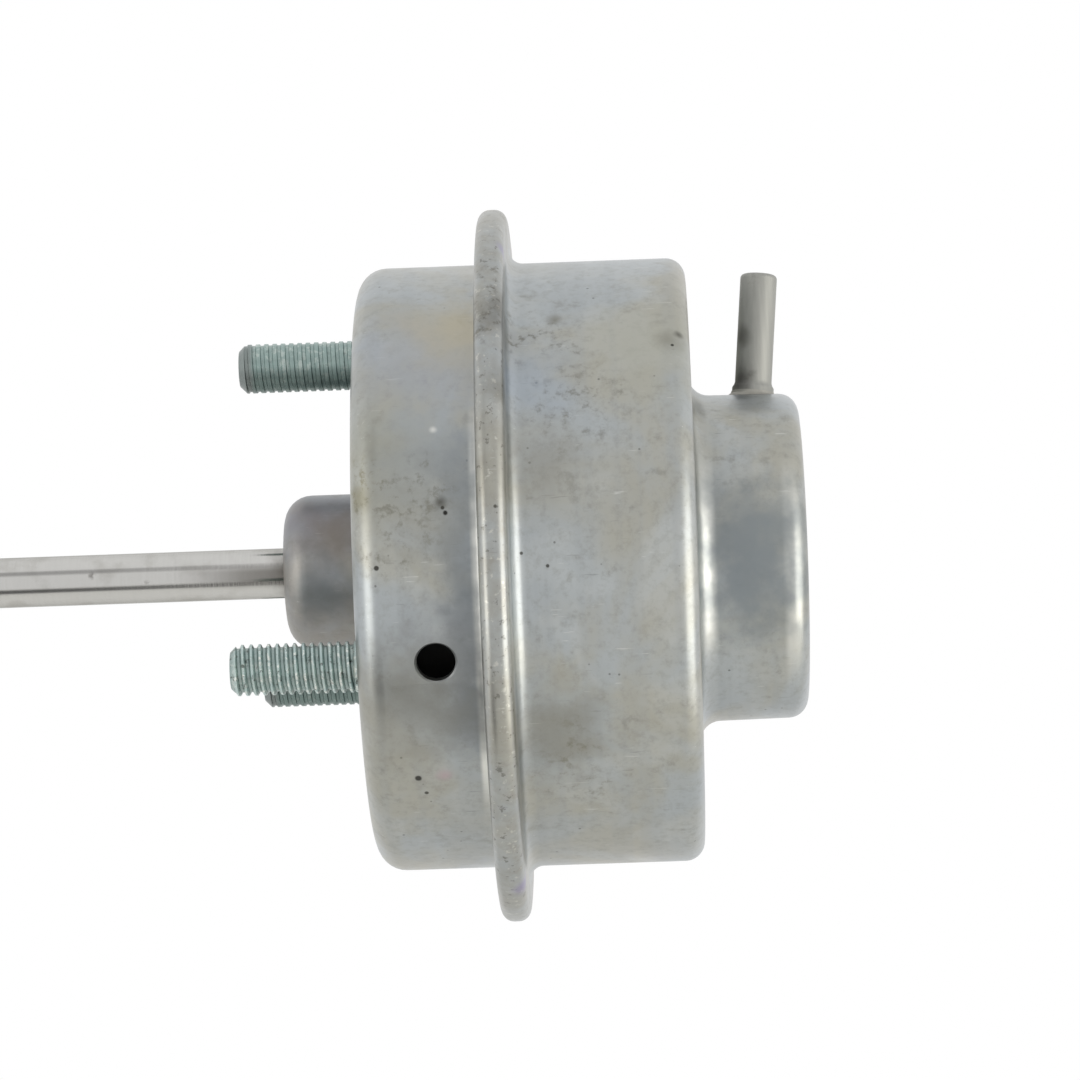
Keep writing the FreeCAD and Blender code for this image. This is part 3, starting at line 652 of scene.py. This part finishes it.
# Piston and diaphragm
# A pressed steel piston cup and a front plate clamp the middle of a rolling rubber diaphragm;
# the rim of the diaphragm is held in the crimp. They are dark inside the closed can.
for node in ("front_plate", "piston", "piston_washer", "spring_seat"):
    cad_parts[node].data.materials.clear()
    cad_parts[node].data.materials.append(inner_steel)
DIAPHRAGM_X, DIAPHRAGM_T = 4.2, 1.0
DIAPHRAGM_HOLE_R = 2.9  # wider than the rod's spigot, which tilts in it
ROLL_IN_R, ROLL_OUT_R, ROLL_TOP_X = 27.05, 34.75, 22.35
ROLL_HALF = (ROLL_OUT_R - ROLL_IN_R) / 2
RIM_X, RIM_T = FLANGE_X + FLANGE_T, 0.8
SHOULDER_R = 1.5
PISTON_CORNER_R = 2.0

diaphragm = turned("rolling_diaphragm_piece", rounded([
    (DIAPHRAGM_X, DIAPHRAGM_HOLE_R),
    (DIAPHRAGM_X, ROLL_IN_R + DIAPHRAGM_T, PISTON_CORNER_R + FIT + DIAPHRAGM_T),
    (ROLL_TOP_X - DIAPHRAGM_T, ROLL_IN_R + DIAPHRAGM_T, ROLL_HALF - DIAPHRAGM_T),
    (ROLL_TOP_X - DIAPHRAGM_T, ROLL_OUT_R - DIAPHRAGM_T, ROLL_HALF - DIAPHRAGM_T),
    (RIM_X, ROLL_OUT_R - DIAPHRAGM_T, SHOULDER_R + DIAPHRAGM_T),
    (RIM_X, FLANGE_R),
    (RIM_X + RIM_T, FLANGE_R),
    (RIM_X + RIM_T, ROLL_OUT_R, SHOULDER_R),
    (ROLL_TOP_X, ROLL_OUT_R, ROLL_HALF),
    (ROLL_TOP_X, ROLL_IN_R, ROLL_HALF),
    (DIAPHRAGM_X + DIAPHRAGM_T, ROLL_IN_R, PISTON_CORNER_R + FIT),
    (DIAPHRAGM_X + DIAPHRAGM_T, DIAPHRAGM_HOLE_R),
    (DIAPHRAGM_X, DIAPHRAGM_HOLE_R),
]), sides=120)
smooth(diaphragm)
diaphragm.data.materials.append(rubber)
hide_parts("diaphragm")
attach(diaphragm, "canister")
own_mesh(diaphragm)

# Return spring
# A coil of shot-peened spring wire with five open turns and a closed turn at each end, ground
# flat where it sits on the piston's washer and on the seat inside the cap.
WIRE_R, SPRING_R = 1.25, 15.5
SPRING_FROM_X, SPRING_TO_X = 6.2, 49.5
SPRING_GROUND, CLOSED_GAP, OPEN_TURNS = 0.8, 0.06, 5
TILT_ROOM = 0.75  # gap between the coil and the washer, which tilts with the rod
TURN_POINTS = 32

# Shot-peened spring wire: dark grey, dimpled all over by the shot.
spring_steel, tree, sockets, mm = material("shot-peened spring wire", 0.85, 0.42, "#6A6B6C")
peening = add(tree, "TexVoronoi", {"Vector": mm, "Scale": 2.2})
tree.links.new(add(tree, "Bump", {"Height": peening, "Strength": 0.6, "Distance": 0.05 * MM}),
               sockets["Normal"])

closed_pitch = 2 * WIRE_R + CLOSED_GAP
first_x = SPRING_FROM_X + WIRE_R - SPRING_GROUND
open_length = SPRING_TO_X - SPRING_FROM_X - 2 * (WIRE_R - SPRING_GROUND) - 2 * closed_pitch
open_pitch = open_length / OPEN_TURNS
spring = drawn("return_spring_piece", [(first_x, 0)])
bpy.ops.object.mode_set(mode="EDIT")
bpy.ops.transform.translate(value=(0, 0, SPRING_R * MM))
before = Vector((first_x, 0, SPRING_R))
for i in range(1, (OPEN_TURNS + 2) * TURN_POINTS + 1):
    turn = i / TURN_POINTS
    open_part = min(max(turn - 1, 0), OPEN_TURNS)
    x = first_x + closed_pitch * (turn - open_part) + open_pitch * open_part
    here = Vector((x, SPRING_R * math.sin(2 * math.pi * turn),
                   SPRING_R * math.cos(2 * math.pi * turn)))
    bpy.ops.mesh.extrude_vertices_move(TRANSFORM_OT_translate={"value": (here - before) * MM})
    before = here
bpy.ops.object.mode_set(mode="OBJECT")
bpy.ops.object.convert(target="CURVE")
spring.data.bevel_depth = WIRE_R * MM
spring.data.bevel_resolution = 4
spring.data.use_fill_caps = True
bpy.ops.object.convert(target="MESH")
close_up(spring)
trim(spring, SPRING_FROM_X + TILT_ROOM, SPRING_TO_X)
smooth(spring, 50)
spring.data.materials.append(spring_steel)
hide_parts("return_spring")
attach(spring, "canister")
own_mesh(spring)

# Rear cup
# The other half: a two-step cup drawn from the same sheet, whose rim is rolled right round the
# flange and the diaphragm into a tall, narrow bead that carries the marks of the rolling tool.
REAR_X, REAR_CORNER_R, REAR_ROOT_R = 38.8, 2.3, 1.7
CAP_X, CAP_R, CAP_END_R, CAP_CORNER_R, CAP_ROOT_R = 51.7, 19.5, 19.35, 2.3, 2.4
REAR_FLANGE_X = RIM_X + RIM_T + FLANGE_T
LIP_X = FLANGE_X - FLANGE_T
BEAD_R, BEAD_BASE_R, CREST_CORNER_R, CREST_TAPER = 42.5, 38.1, 1.4, 0.1
CHANNEL_R, LIP_R = 40.85, 37.7
NIPPLE_FOOT_R, NIPPLE_AIM_X, NIPPLE_ANGLE, NIPPLE_LEAN = 2.5, 44.76, -6.0, 5.1
REAR_MARKS = [
    ((20.4, -28.8, 21.6), 5.5, "#9AA5B3", 0.48, "soft"),
    ((34.3, -26.3, 24.6), 7.0, "#ABABA0", 0.55, "soft"),
    ((25.1, -30.9, 18.5), 6.5, "#73726B", 0.75, "crumbly"),
    ((23.0, -24.5, 26.0), 4.0, "#75756E", 0.70, "crumbly"),
    ((23.5, -22.6, 28.0), 0.9, "#7B7A72", 0.70, "soft"),
    ((36.3, -25.8, 25.1), 1.6, "#85847A", 0.60, "soft"),
    ((37.5, -24.8, 25.6), 0.6, "#55544C", 0.80, "soft"),
    ((22.0, -34.0, 12.0), 4.0, "#8F8D84", 0.50, "soft"),
    ((22.6, -30.5, -19.1), 6.0, "#86847A", 0.65, "soft"),
    ((24.0, -26.5, -24.0), 5.0, "#7D7B70", 0.70, "crumbly"),
    ((24.6, -29.7, -20.3), 4.0, "#7D7B70", 0.60, "crumbly"),
    # painted dark reflection on the front of the cap: the next three marks
    ((44.3, -19.5, 1.5), 7.5, "#7D8488", 0.80, "soft"),
    ((45.6, -19.3, -3.6), 6.2, "#7D8488", 0.75, "soft"),
    ((49.0, -19.0, 4.0), 4.5, "#8B9193", 0.50, "soft"),
    ((17.0, -29.2, 30.2), 6.5, "#5F5B50", 0.75, "crumbly"),
    ((18.4, -30.0, 28.5), 3.6, "#57544C", 0.55, "soft"),
    ((17.8, -36.0, 19.5), 2.2, "#615E54", 0.50, "soft"),
    ((19.1, -36.0, 1.5), 0.22, "#3A3934", 0.85, "sharp"),
    ((22.0, -36.0, 0.0), 0.20, "#3A3934", 0.85, "sharp"),
    ((36.8, -26.4, 24.5), 0.26, "#2E2D2A", 0.90, "sharp"),
    ((16.4, -42.3, -4.4), 0.95, "#55534C", 0.75, "crumbly"),
    ((16.6, -42.0, 6.8), 0.28, "#4A4842", 0.85, "sharp"),
    ((18.0, -20.0, 36.0), 1.2, "#8A7FA8", 0.60, "soft"),
    ((17.6, -20.0, -36.5), 1.4, "#8A7FA8", 0.60, "soft"),
]
# Painted highlights in the cap's root and at the cap's end corner
REAR_PAINTED_HIGHLIGHTS = [(40.1, 0.9, 0.95, 8, -8), (49.8, 0.9, 0.65, 8, -12)]

channel_half = (RIM_X + RIM_T - FLANGE_X) / 2
rear_cup = turned("rear_cup_piece", rounded([
    (CAP_X, 0),
    (CAP_X, CAP_END_R, CAP_CORNER_R),
    (REAR_X, CAP_R, CAP_ROOT_R),
    (REAR_X, CAN_R, REAR_CORNER_R),
    (REAR_FLANGE_X, CAN_R, REAR_ROOT_R),
    (REAR_FLANGE_X, BEAD_BASE_R),
    (REAR_FLANGE_X - CREST_TAPER, BEAD_R, CREST_CORNER_R),
    (LIP_X + CREST_TAPER, BEAD_R, CREST_CORNER_R),
    (LIP_X, BEAD_BASE_R),
    (LIP_X, LIP_R),
    (FLANGE_X, LIP_R),
    (FLANGE_X, CHANNEL_R, channel_half),
    (RIM_X + RIM_T, CHANNEL_R, channel_half),
    (RIM_X + RIM_T, CAN_IN_R, REAR_ROOT_R + SHEET),
    (REAR_X - SHEET, CAN_IN_R, REAR_CORNER_R - SHEET),
    (REAR_X - SHEET, CAP_R - SHEET, CAP_ROOT_R + SHEET),
    (CAP_X - SHEET, CAP_END_R - SHEET, CAP_CORNER_R - SHEET),
    (CAP_X - SHEET, 0),
    (CAP_X, 0),
]))
pierce(rear_cup, NIPPLE_FOOT_R + FIT, 2 * THROUGH, rise=CAP_R, turn_y=NIPPLE_LEAN,
       turn_x=NIPPLE_ANGLE, move=(NIPPLE_AIM_X, 0, 0))
close_up(rear_cup)
smooth(rear_cup)
rear_cup.data.materials.append(zinc_sheet("zinc-plated sheet, rear cup", REAR_MARKS, rim=True,
                                          painted_highlights=REAR_PAINTED_HIGHLIGHTS))
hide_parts("rear_cup")
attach(rear_cup, "canister")

# Hose nipple
# A thin drawn steel tube brazed into the cap's side, leaning a little from square; duller than
# the cups, with a rounded mouth, and a small fillet of braze at its foot.
NIPPLE_R, NIPPLE_BORE_R, NIPPLE_TIP_R, NIPPLE_MOUTH_R = 2.2, 1.5, 0.5, 0.15
NIPPLE_FROM, NIPPLE_REACH, NIPPLE_FOOT_HEIGHT = 17.65, 34.2, 0.9
NIPPLE_TAPER, NIPPLE_TAPER_R = 0.5, 1.2
BRAZE_HEIGHT, BRAZE_FOOT, BRAZE_HOLLOW_R = 0.45, 0.45, 0.3
NIPPLE_FOOT_TO = CAP_R + NIPPLE_FOOT_HEIGHT
CAP_BODY_X, CAP_DRAFT = CAP_X - 1, 0.1  # the plain part of the cap, which narrows a little
FROM_AXIS = NIPPLE_LEAN - 90

# Drawn steel tube: dull grey with faint lengthwise streaks, a painted dark reflection down its left
# side near the foot, and dirt at its foot and at its mouth.
tube_steel, tree, sockets, mm = material("drawn steel tube", 0.9, 0.58)
drawing = add(tree, "VectorMath", {0: mm, 1: (2.0, 2.0, 0.06)}, operation="MULTIPLY")
streaks = add(tree, "TexNoise", {"Vector": drawing, "Scale": 1.0, "Detail": 4.0})
colour = add(tree, "MixRGB", {"Fac": streaks, "Color1": linear("#92938F"),
                              "Color2": linear("#A9A9A4")})
colour = wear_and_painted_shade(tree, mm, colour, [
    # painted dark reflection of the rear cup's end face on the tube's left side: the first two
    # marks
    ((44.9, 1.0, 26.8), 1.4, "#55544F", 0.75, "soft"),
    ((44.3, 0.5, 21.3), 1.9, "#4C4A48", 0.80, "soft"),
    ((46.0, 0.2, 21.6), 1.0, "#6A6963", 0.60, "crumbly"),
    ((45.5, 3.0, 33.5), 3.0, "#6A655C", 0.50, "crumbly"),
])
tree.links.new(colour, sockets["Base Color"])

nipple = turned("hose_nipple_piece", rounded([
    (NIPPLE_FROM, NIPPLE_BORE_R),
    (NIPPLE_FROM, NIPPLE_FOOT_R),
    (NIPPLE_FOOT_TO, NIPPLE_FOOT_R),
    (NIPPLE_FOOT_TO + NIPPLE_TAPER, NIPPLE_R, NIPPLE_TAPER_R),
    (NIPPLE_REACH, NIPPLE_R, NIPPLE_TIP_R),
    (NIPPLE_REACH, NIPPLE_BORE_R, NIPPLE_MOUTH_R),
    (NIPPLE_FROM, NIPPLE_BORE_R),
]), sides=72)
place(nipple, turn_y=FROM_AXIS, turn_x=NIPPLE_ANGLE, move=(NIPPLE_AIM_X, 0, 0))
smooth(nipple)
nipple.data.materials.append(tube_steel)
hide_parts("hose_nipple")
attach(nipple, "canister")

# Silver braze: a dull grey metal, mottled where the flux burned off.
braze_metal = clouded("dull braze", 0.75, 0.5, "#8A8882", "#B9B7AF",
                      {"Scale": 1.1, "Detail": 6.0, "Roughness": 0.7})[0]
fillet = turned("nipple_braze_piece", rounded([
    (CAP_R + BRAZE_HEIGHT, NIPPLE_FOOT_R + FIT),
    (CAP_R + BRAZE_HEIGHT / 3, NIPPLE_FOOT_R + BRAZE_FOOT / 3, BRAZE_HOLLOW_R),
    (CAP_R - SHEET, NIPPLE_FOOT_R + BRAZE_FOOT + SHEET),
    (CAP_R - SHEET, NIPPLE_FOOT_R + FIT),
    (CAP_R + BRAZE_HEIGHT, NIPPLE_FOOT_R + FIT),
]), sides=64)
place(fillet, turn_y=FROM_AXIS, turn_x=NIPPLE_ANGLE, move=(NIPPLE_AIM_X, 0, 0))
cap_body = turned("cap body", [
    (CAP_BODY_X, 0), (CAP_BODY_X, CAP_R - CAP_DRAFT), (REAR_X, CAP_R), (REAR_X, 0),
])
cut(fillet, cap_body)
smooth(fillet, 60)
fillet.data.materials.append(braze_metal)
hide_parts("nipple_braze")
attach(fillet, "canister")

# Lock nut
# A zinc-plated M6 nut, 10 mm across its flats, with both faces turned off at the corners. It is
# run up against the rod end and locks it on the rod.
NUT_FLATS, NUT_T, NUT_X = 10.0, 5.0, -69.95
NUT_TURNED, NUT_TURNED_T, NUT_BEVEL = 0.6, 0.36, 0.12
NUT_BORE_R = STUD_R + FIT
MOUTH_WIDER, MOUTH_DEPTH, PAST_FACE, PAST_CORNER = 0.5, 0.4, 0.1, 0.01

# Clear zinc on turned steel: pale and slightly cloudy, with fine tool marks.
nut_zinc, tree, sockets, mm = clouded("zinc plating on turned steel", 0.92, 0.3, "#A9B8B6",
                                      "#C7CFCB", {"Scale": 0.4, "Detail": 5.0})
tool_marks = add(tree, "VectorMath", {0: mm, 1: (6.0, 0.3, 0.3)}, operation="MULTIPLY")
turning = add(tree, "TexNoise", {"Vector": tool_marks, "Scale": 1.0, "Detail": 2.0})
tree.links.new(add(tree, "Bump", {"Height": turning, "Strength": 0.3, "Distance": 0.03 * MM}),
               sockets["Normal"])

corner_r = NUT_FLATS / 2 / math.cos(math.pi / 6)
bpy.ops.object.select_all(action="DESELECT")
bpy.ops.mesh.primitive_cylinder_add(vertices=6, radius=corner_r * MM, depth=NUT_T * MM)
nut = bpy.context.object
nut.name = "lock_nut_piece"
place(nut, turn_y=90, turn_x=90, move=(NUT_X + NUT_T / 2, 0, 0))
cut(nut, turned("nut envelope", [
    (NUT_X, 0), (NUT_X, corner_r - NUT_TURNED), (NUT_X + NUT_TURNED_T, corner_r + PAST_CORNER),
    (NUT_X + NUT_T - NUT_TURNED_T, corner_r + PAST_CORNER),
    (NUT_X + NUT_T, corner_r - NUT_TURNED), (NUT_X + NUT_T, 0),
], sides=96), "INTERSECT")
cut(nut, turned("nut bore", [
    (NUT_X - PAST_FACE, 0), (NUT_X - PAST_FACE, NUT_BORE_R + MOUTH_WIDER),
    (NUT_X + MOUTH_DEPTH, NUT_BORE_R), (NUT_X + NUT_T - MOUTH_DEPTH, NUT_BORE_R),
    (NUT_X + NUT_T + PAST_FACE, NUT_BORE_R + MOUTH_WIDER), (NUT_X + NUT_T + PAST_FACE, 0),
], sides=HOLE_SIDES))
apply(nut, "BEVEL", width=NUT_BEVEL * MM, segments=2, limit_method="ANGLE",
      angle_limit=math.radians(40))
smooth(nut, 30)
nut.data.materials.append(nut_zinc)
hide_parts("lock_nut")
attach(nut, "nut")

# Rod end
# A turned shank screwed on the rod that runs into a flat eye, forged in one and zinc plated,
# with a hardened bush pressed in for the lever's pin.
SHANK_X, SHANK_END_X, SHANK_R, SHANK_BEVEL = -70.0, -84.0, 5.0, 0.6
EYE_X, EYE_R, EYE_T, EYE_TAPER, EYE_BEVEL = -92.0, 7.0, 6.0, 3.0, 0.6
END_BORE_DEPTH, END_MOUTH_WIDER = 13.0, 0.9
PIN_R, PIN_BUSH_R, PIN_BUSH_LENGTH, PRESS_GAP = 3.0, 4.5, 6.6, 0.02
BLEND = 0.25  # size of the cells that melt the shank into the eye, as forging does

rod_end = turned("rod_end_piece", [
    (SHANK_X, 0), (SHANK_X, SHANK_R - SHANK_BEVEL), (SHANK_X - SHANK_BEVEL, SHANK_R),
    (SHANK_END_X, SHANK_R), (SHANK_END_X - EYE_TAPER, EYE_T / 2), (EYE_X, EYE_T / 2), (EYE_X, 0),
], sides=72)
bpy.ops.object.select_all(action="DESELECT")
bpy.ops.mesh.primitive_cylinder_add(vertices=96, radius=EYE_R * MM, depth=EYE_T * MM)
eye = bpy.context.object
place(eye, turn_x=90, move=(EYE_X, 0, 0))
apply(eye, "BEVEL", width=EYE_BEVEL * MM, segments=3, limit_method="ANGLE",
      angle_limit=math.radians(60))
cut(rod_end, eye, "UNION")
apply(rod_end, "REMESH", mode="VOXEL", voxel_size=BLEND * MM)
apply(rod_end, "CORRECTIVE_SMOOTH", factor=0.5, iterations=6, smooth_type="SIMPLE",
      use_only_smooth=True)
pierce(rod_end, PIN_BUSH_R + PRESS_GAP, 3 * EYE_T, turn_x=90, move=(EYE_X, 0, 0))
cut(rod_end, turned("rod end bore", [
    (SHANK_X + 1, 0), (SHANK_X + 1, NUT_BORE_R + END_MOUTH_WIDER),
    (SHANK_X - MOUTH_DEPTH, NUT_BORE_R), (SHANK_X - END_BORE_DEPTH, NUT_BORE_R),
    (SHANK_X - END_BORE_DEPTH - SNAP, 0),
], sides=HOLE_SIDES))
close_up(rod_end)
smooth(rod_end, 40)
rod_end.data.materials.append(nut_zinc)
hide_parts("rod_end")
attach(rod_end, "eye")

# Hardened and ground steel: grey and smooth, faintly clouded by the tempering.
hardened = clouded("hardened ground steel", 1.0, 0.22, "#8B8D8E", "#A2A3A2",
                   {"Scale": 0.5, "Detail": 3.0})[0]
PIN_BUSH_EDGE_R, PIN_BORE_EDGE_R = 0.2, 0.15
half_bush, mid_wall_r = PIN_BUSH_LENGTH / 2, (PIN_R + PIN_BUSH_R) / 2
bush_outline = rounded([
    (-half_bush, mid_wall_r),
    (-half_bush, PIN_BUSH_R, PIN_BUSH_EDGE_R),
    (half_bush, PIN_BUSH_R, PIN_BUSH_EDGE_R),
    (half_bush, PIN_R, PIN_BORE_EDGE_R),
    (-half_bush, PIN_R, PIN_BORE_EDGE_R),
    (-half_bush, mid_wall_r),
])
pin_bush = turned("rod_end_bush_piece", bush_outline, sides=72)
take(pin_bush)
bpy.ops.object.mode_set(mode="EDIT")
bpy.ops.mesh.select_all(action="SELECT")
bpy.ops.transform.rotate(value=math.pi / 2, orient_axis="Z", center_override=(0, 0, 0))
bpy.ops.object.mode_set(mode="OBJECT")
place(pin_bush, move=(EYE_X, 0, 0))
smooth(pin_bush)
pin_bush.data.materials.append(hardened)
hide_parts("rod_end_bush")
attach(pin_bush, "eye")

# Studio
# A round pale floor below the object that fades out at its edge, white all round, a soft lamp at
# each side and above, large pale grey cards in front and overhead that the metal mirrors, and two
# small darker flags that draw the lines along the polished rod.
FLOOR_Z, FLOOR_R, FLOOR_FADE_R = -0.42, 0.9, 0.5
CARDS = {
    # centre in metres, half width, half height, tilt in degrees, glow, shares that fade out
    "grey card": ((0.02, -0.75, 0.0), 0.95, 0.70, 90, 0.86, (0.42, 0.15)),
    "ceiling card": ((0.02, -0.08, 0.72), 0.95, 0.75, 0, 0.92, (0.42, 0.25)),
    "low flag": ((-0.195, -0.226, -0.215), 0.165, 0.080, -46, 0.12, (0.15, 0.70)),
    "high flag": ((-0.195, -0.228, 0.190), 0.165, 0.075, 50, 0.45, (0.15, 0.70)),
}

bpy.ops.object.select_all(action="DESELECT")
bpy.ops.mesh.primitive_circle_add(vertices=96, radius=FLOOR_R, fill_type="NGON",
                                  location=(0, 0, FLOOR_Z))
floor = bpy.context.object
floor.name = "floor"
bpy.ops.object.transform_apply(location=True)
pale = bpy.data.materials.new("pale painted floor")
pale.use_nodes = True
tree = pale.node_tree
paint = tree.nodes["Principled BSDF"]
paint.inputs["Base Color"].default_value = linear("#EDEDEB")
paint.inputs["Roughness"].default_value = 0.8
where = tree.nodes.new("ShaderNodeTexCoord").outputs["Object"]
flat = add(tree, "VectorMath", {0: where, 1: (1, 1, 0)}, operation="MULTIPLY")
add(tree, "VectorMath", {0: flat}, operation="LENGTH")
fade = add(tree, "MapRange", {"Value": tree.nodes[-1].outputs["Value"],
                              "From Min": FLOOR_FADE_R, "From Max": FLOOR_R * 0.98}, **EASED)
clear = add(tree, "BsdfTransparent", {})
faded = add(tree, "MixShader", {0: fade, 1: paint.outputs[0], 2: clear})
tree.links.new(faded, tree.nodes["Material Output"].inputs["Surface"])
floor.data.materials.append(pale)

for name, (centre, half_width, half_height, tilt, level, fading) in CARDS.items():
    bpy.ops.object.select_all(action="DESELECT")
    bpy.ops.mesh.primitive_plane_add(size=2, location=(0, 0, 0))
    card = bpy.context.object
    card.name = name
    card.scale = (half_width, half_height, 1)
    card.rotation_euler = (math.radians(tilt), 0, 0)
    card.location = centre
    bpy.ops.object.transform_apply(location=True, rotation=True, scale=True)
    glowing = bpy.data.materials.new(name)
    glowing.use_nodes = True
    tree = glowing.node_tree
    tree.nodes.remove(tree.nodes["Principled BSDF"])
    uv = tree.nodes.new("ShaderNodeTexCoord").outputs["UV"]
    centred = add(tree, "VectorMath", {0: uv, 1: (0.5, 0.5, 0)}, operation="SUBTRACT")
    centred = add(tree, "VectorMath", {0: centred}, operation="ABSOLUTE")
    add(tree, "SeparateXYZ", {0: centred})
    across, up = tree.nodes[-1].outputs["X"], tree.nodes[-1].outputs["Y"]
    side = add(tree, "MapRange", {"Value": across, "From Min": 0.5 - fading[0] / 2,
                                  "From Max": 0.5}, **EASED)
    rise = add(tree, "MapRange", {"Value": up, "From Min": 0.5 - fading[1] / 2,
                                  "From Max": 0.5}, **EASED)
    edge = add(tree, "Math", {0: side, 1: rise}, operation="MAXIMUM")
    glow = add(tree, "Emission", {"Color": (1, 1, 1, 1), "Strength": level})
    clear = add(tree, "BsdfTransparent", {})
    mixed = add(tree, "MixShader", {0: edge, 1: glow, 2: clear})
    tree.links.new(mixed, tree.nodes["Material Output"].inputs["Surface"])
    card.data.materials.append(glowing)
    card.visible_camera = False
    card.visible_shadow = False

world = bpy.data.worlds.new("white studio")
bpy.context.scene.world = world
world.use_nodes = True
tree = world.node_tree
rays = tree.nodes.new("ShaderNodeLightPath").outputs
seen = add(tree, "Math", {0: rays["Is Camera Ray"], 1: rays["Is Glossy Ray"]}, operation="MAXIMUM")
seen = add(tree, "Math", {0: seen, 1: rays["Is Transmission Ray"]}, operation="MAXIMUM")
strength = add(tree, "MapRange", {"Value": seen, "To Min": 0.8, "To Max": 1.0})
tree.links.new(strength, tree.nodes["Background"].inputs["Strength"])
tree.nodes["Background"].inputs["Color"].default_value = (1, 1, 1, 1)

LAMPS = (
    # place in metres, width, height, watts, colour
    ("left lamp", (-0.76, -0.56, -0.06), 0.5, 1.0, 2.3, "#FFFBF2"),
    ("right lamp", (0.84, -0.50, -0.18), 1.0, 1.0, 6.1, "#FFFBF2"),
    ("top lamp", (0.0, 0.1, 1.2), 1.4, 1.0, 1.6, "#FFFFFF"),
)
LAMPS_AIM = Vector((0.01, 0, 0))
for name, spot, width, height, power, tint in LAMPS:
    bpy.ops.object.light_add(type="AREA", location=spot)
    lamp = bpy.context.object
    lamp.name = name
    lamp.data.shape = "RECTANGLE"
    lamp.data.size, lamp.data.size_y = width, height
    lamp.data.energy = power
    lamp.data.color = linear(tint)[:3]
    lamp.rotation_euler = (LAMPS_AIM - Vector(spot)).to_track_quat("-Z", "Y").to_euler()

# Camera
# Half a metre away with a 140 mm lens, level with the object, a little to the cap's side of it
# and rolled by two degrees, as the photograph was taken.
CAMERA_AT, CAMERA_AIM = Vector((0.03225, -0.503, 0.0029)), Vector((0.0204, 0, 0.0029))
ROLL = math.radians(2.03)
bpy.ops.object.camera_add(location=CAMERA_AT)
camera = bpy.context.object
back = (CAMERA_AT - CAMERA_AIM).normalized()
right = Vector((0, 0, 1)).cross(back).normalized()
up = back.cross(right)
tilted_right = right * math.cos(ROLL) - up * math.sin(ROLL)
tilted_up = right * math.sin(ROLL) + up * math.cos(ROLL)
camera.rotation_euler = Matrix((tilted_right, tilted_up, back)).transposed().to_euler()
camera.data.lens = 140
camera.data.sensor_width = 36
camera.data.clip_start = 0.01
bpy.context.scene.camera = camera
bpy.context.scene.view_settings.view_transform = "Standard"
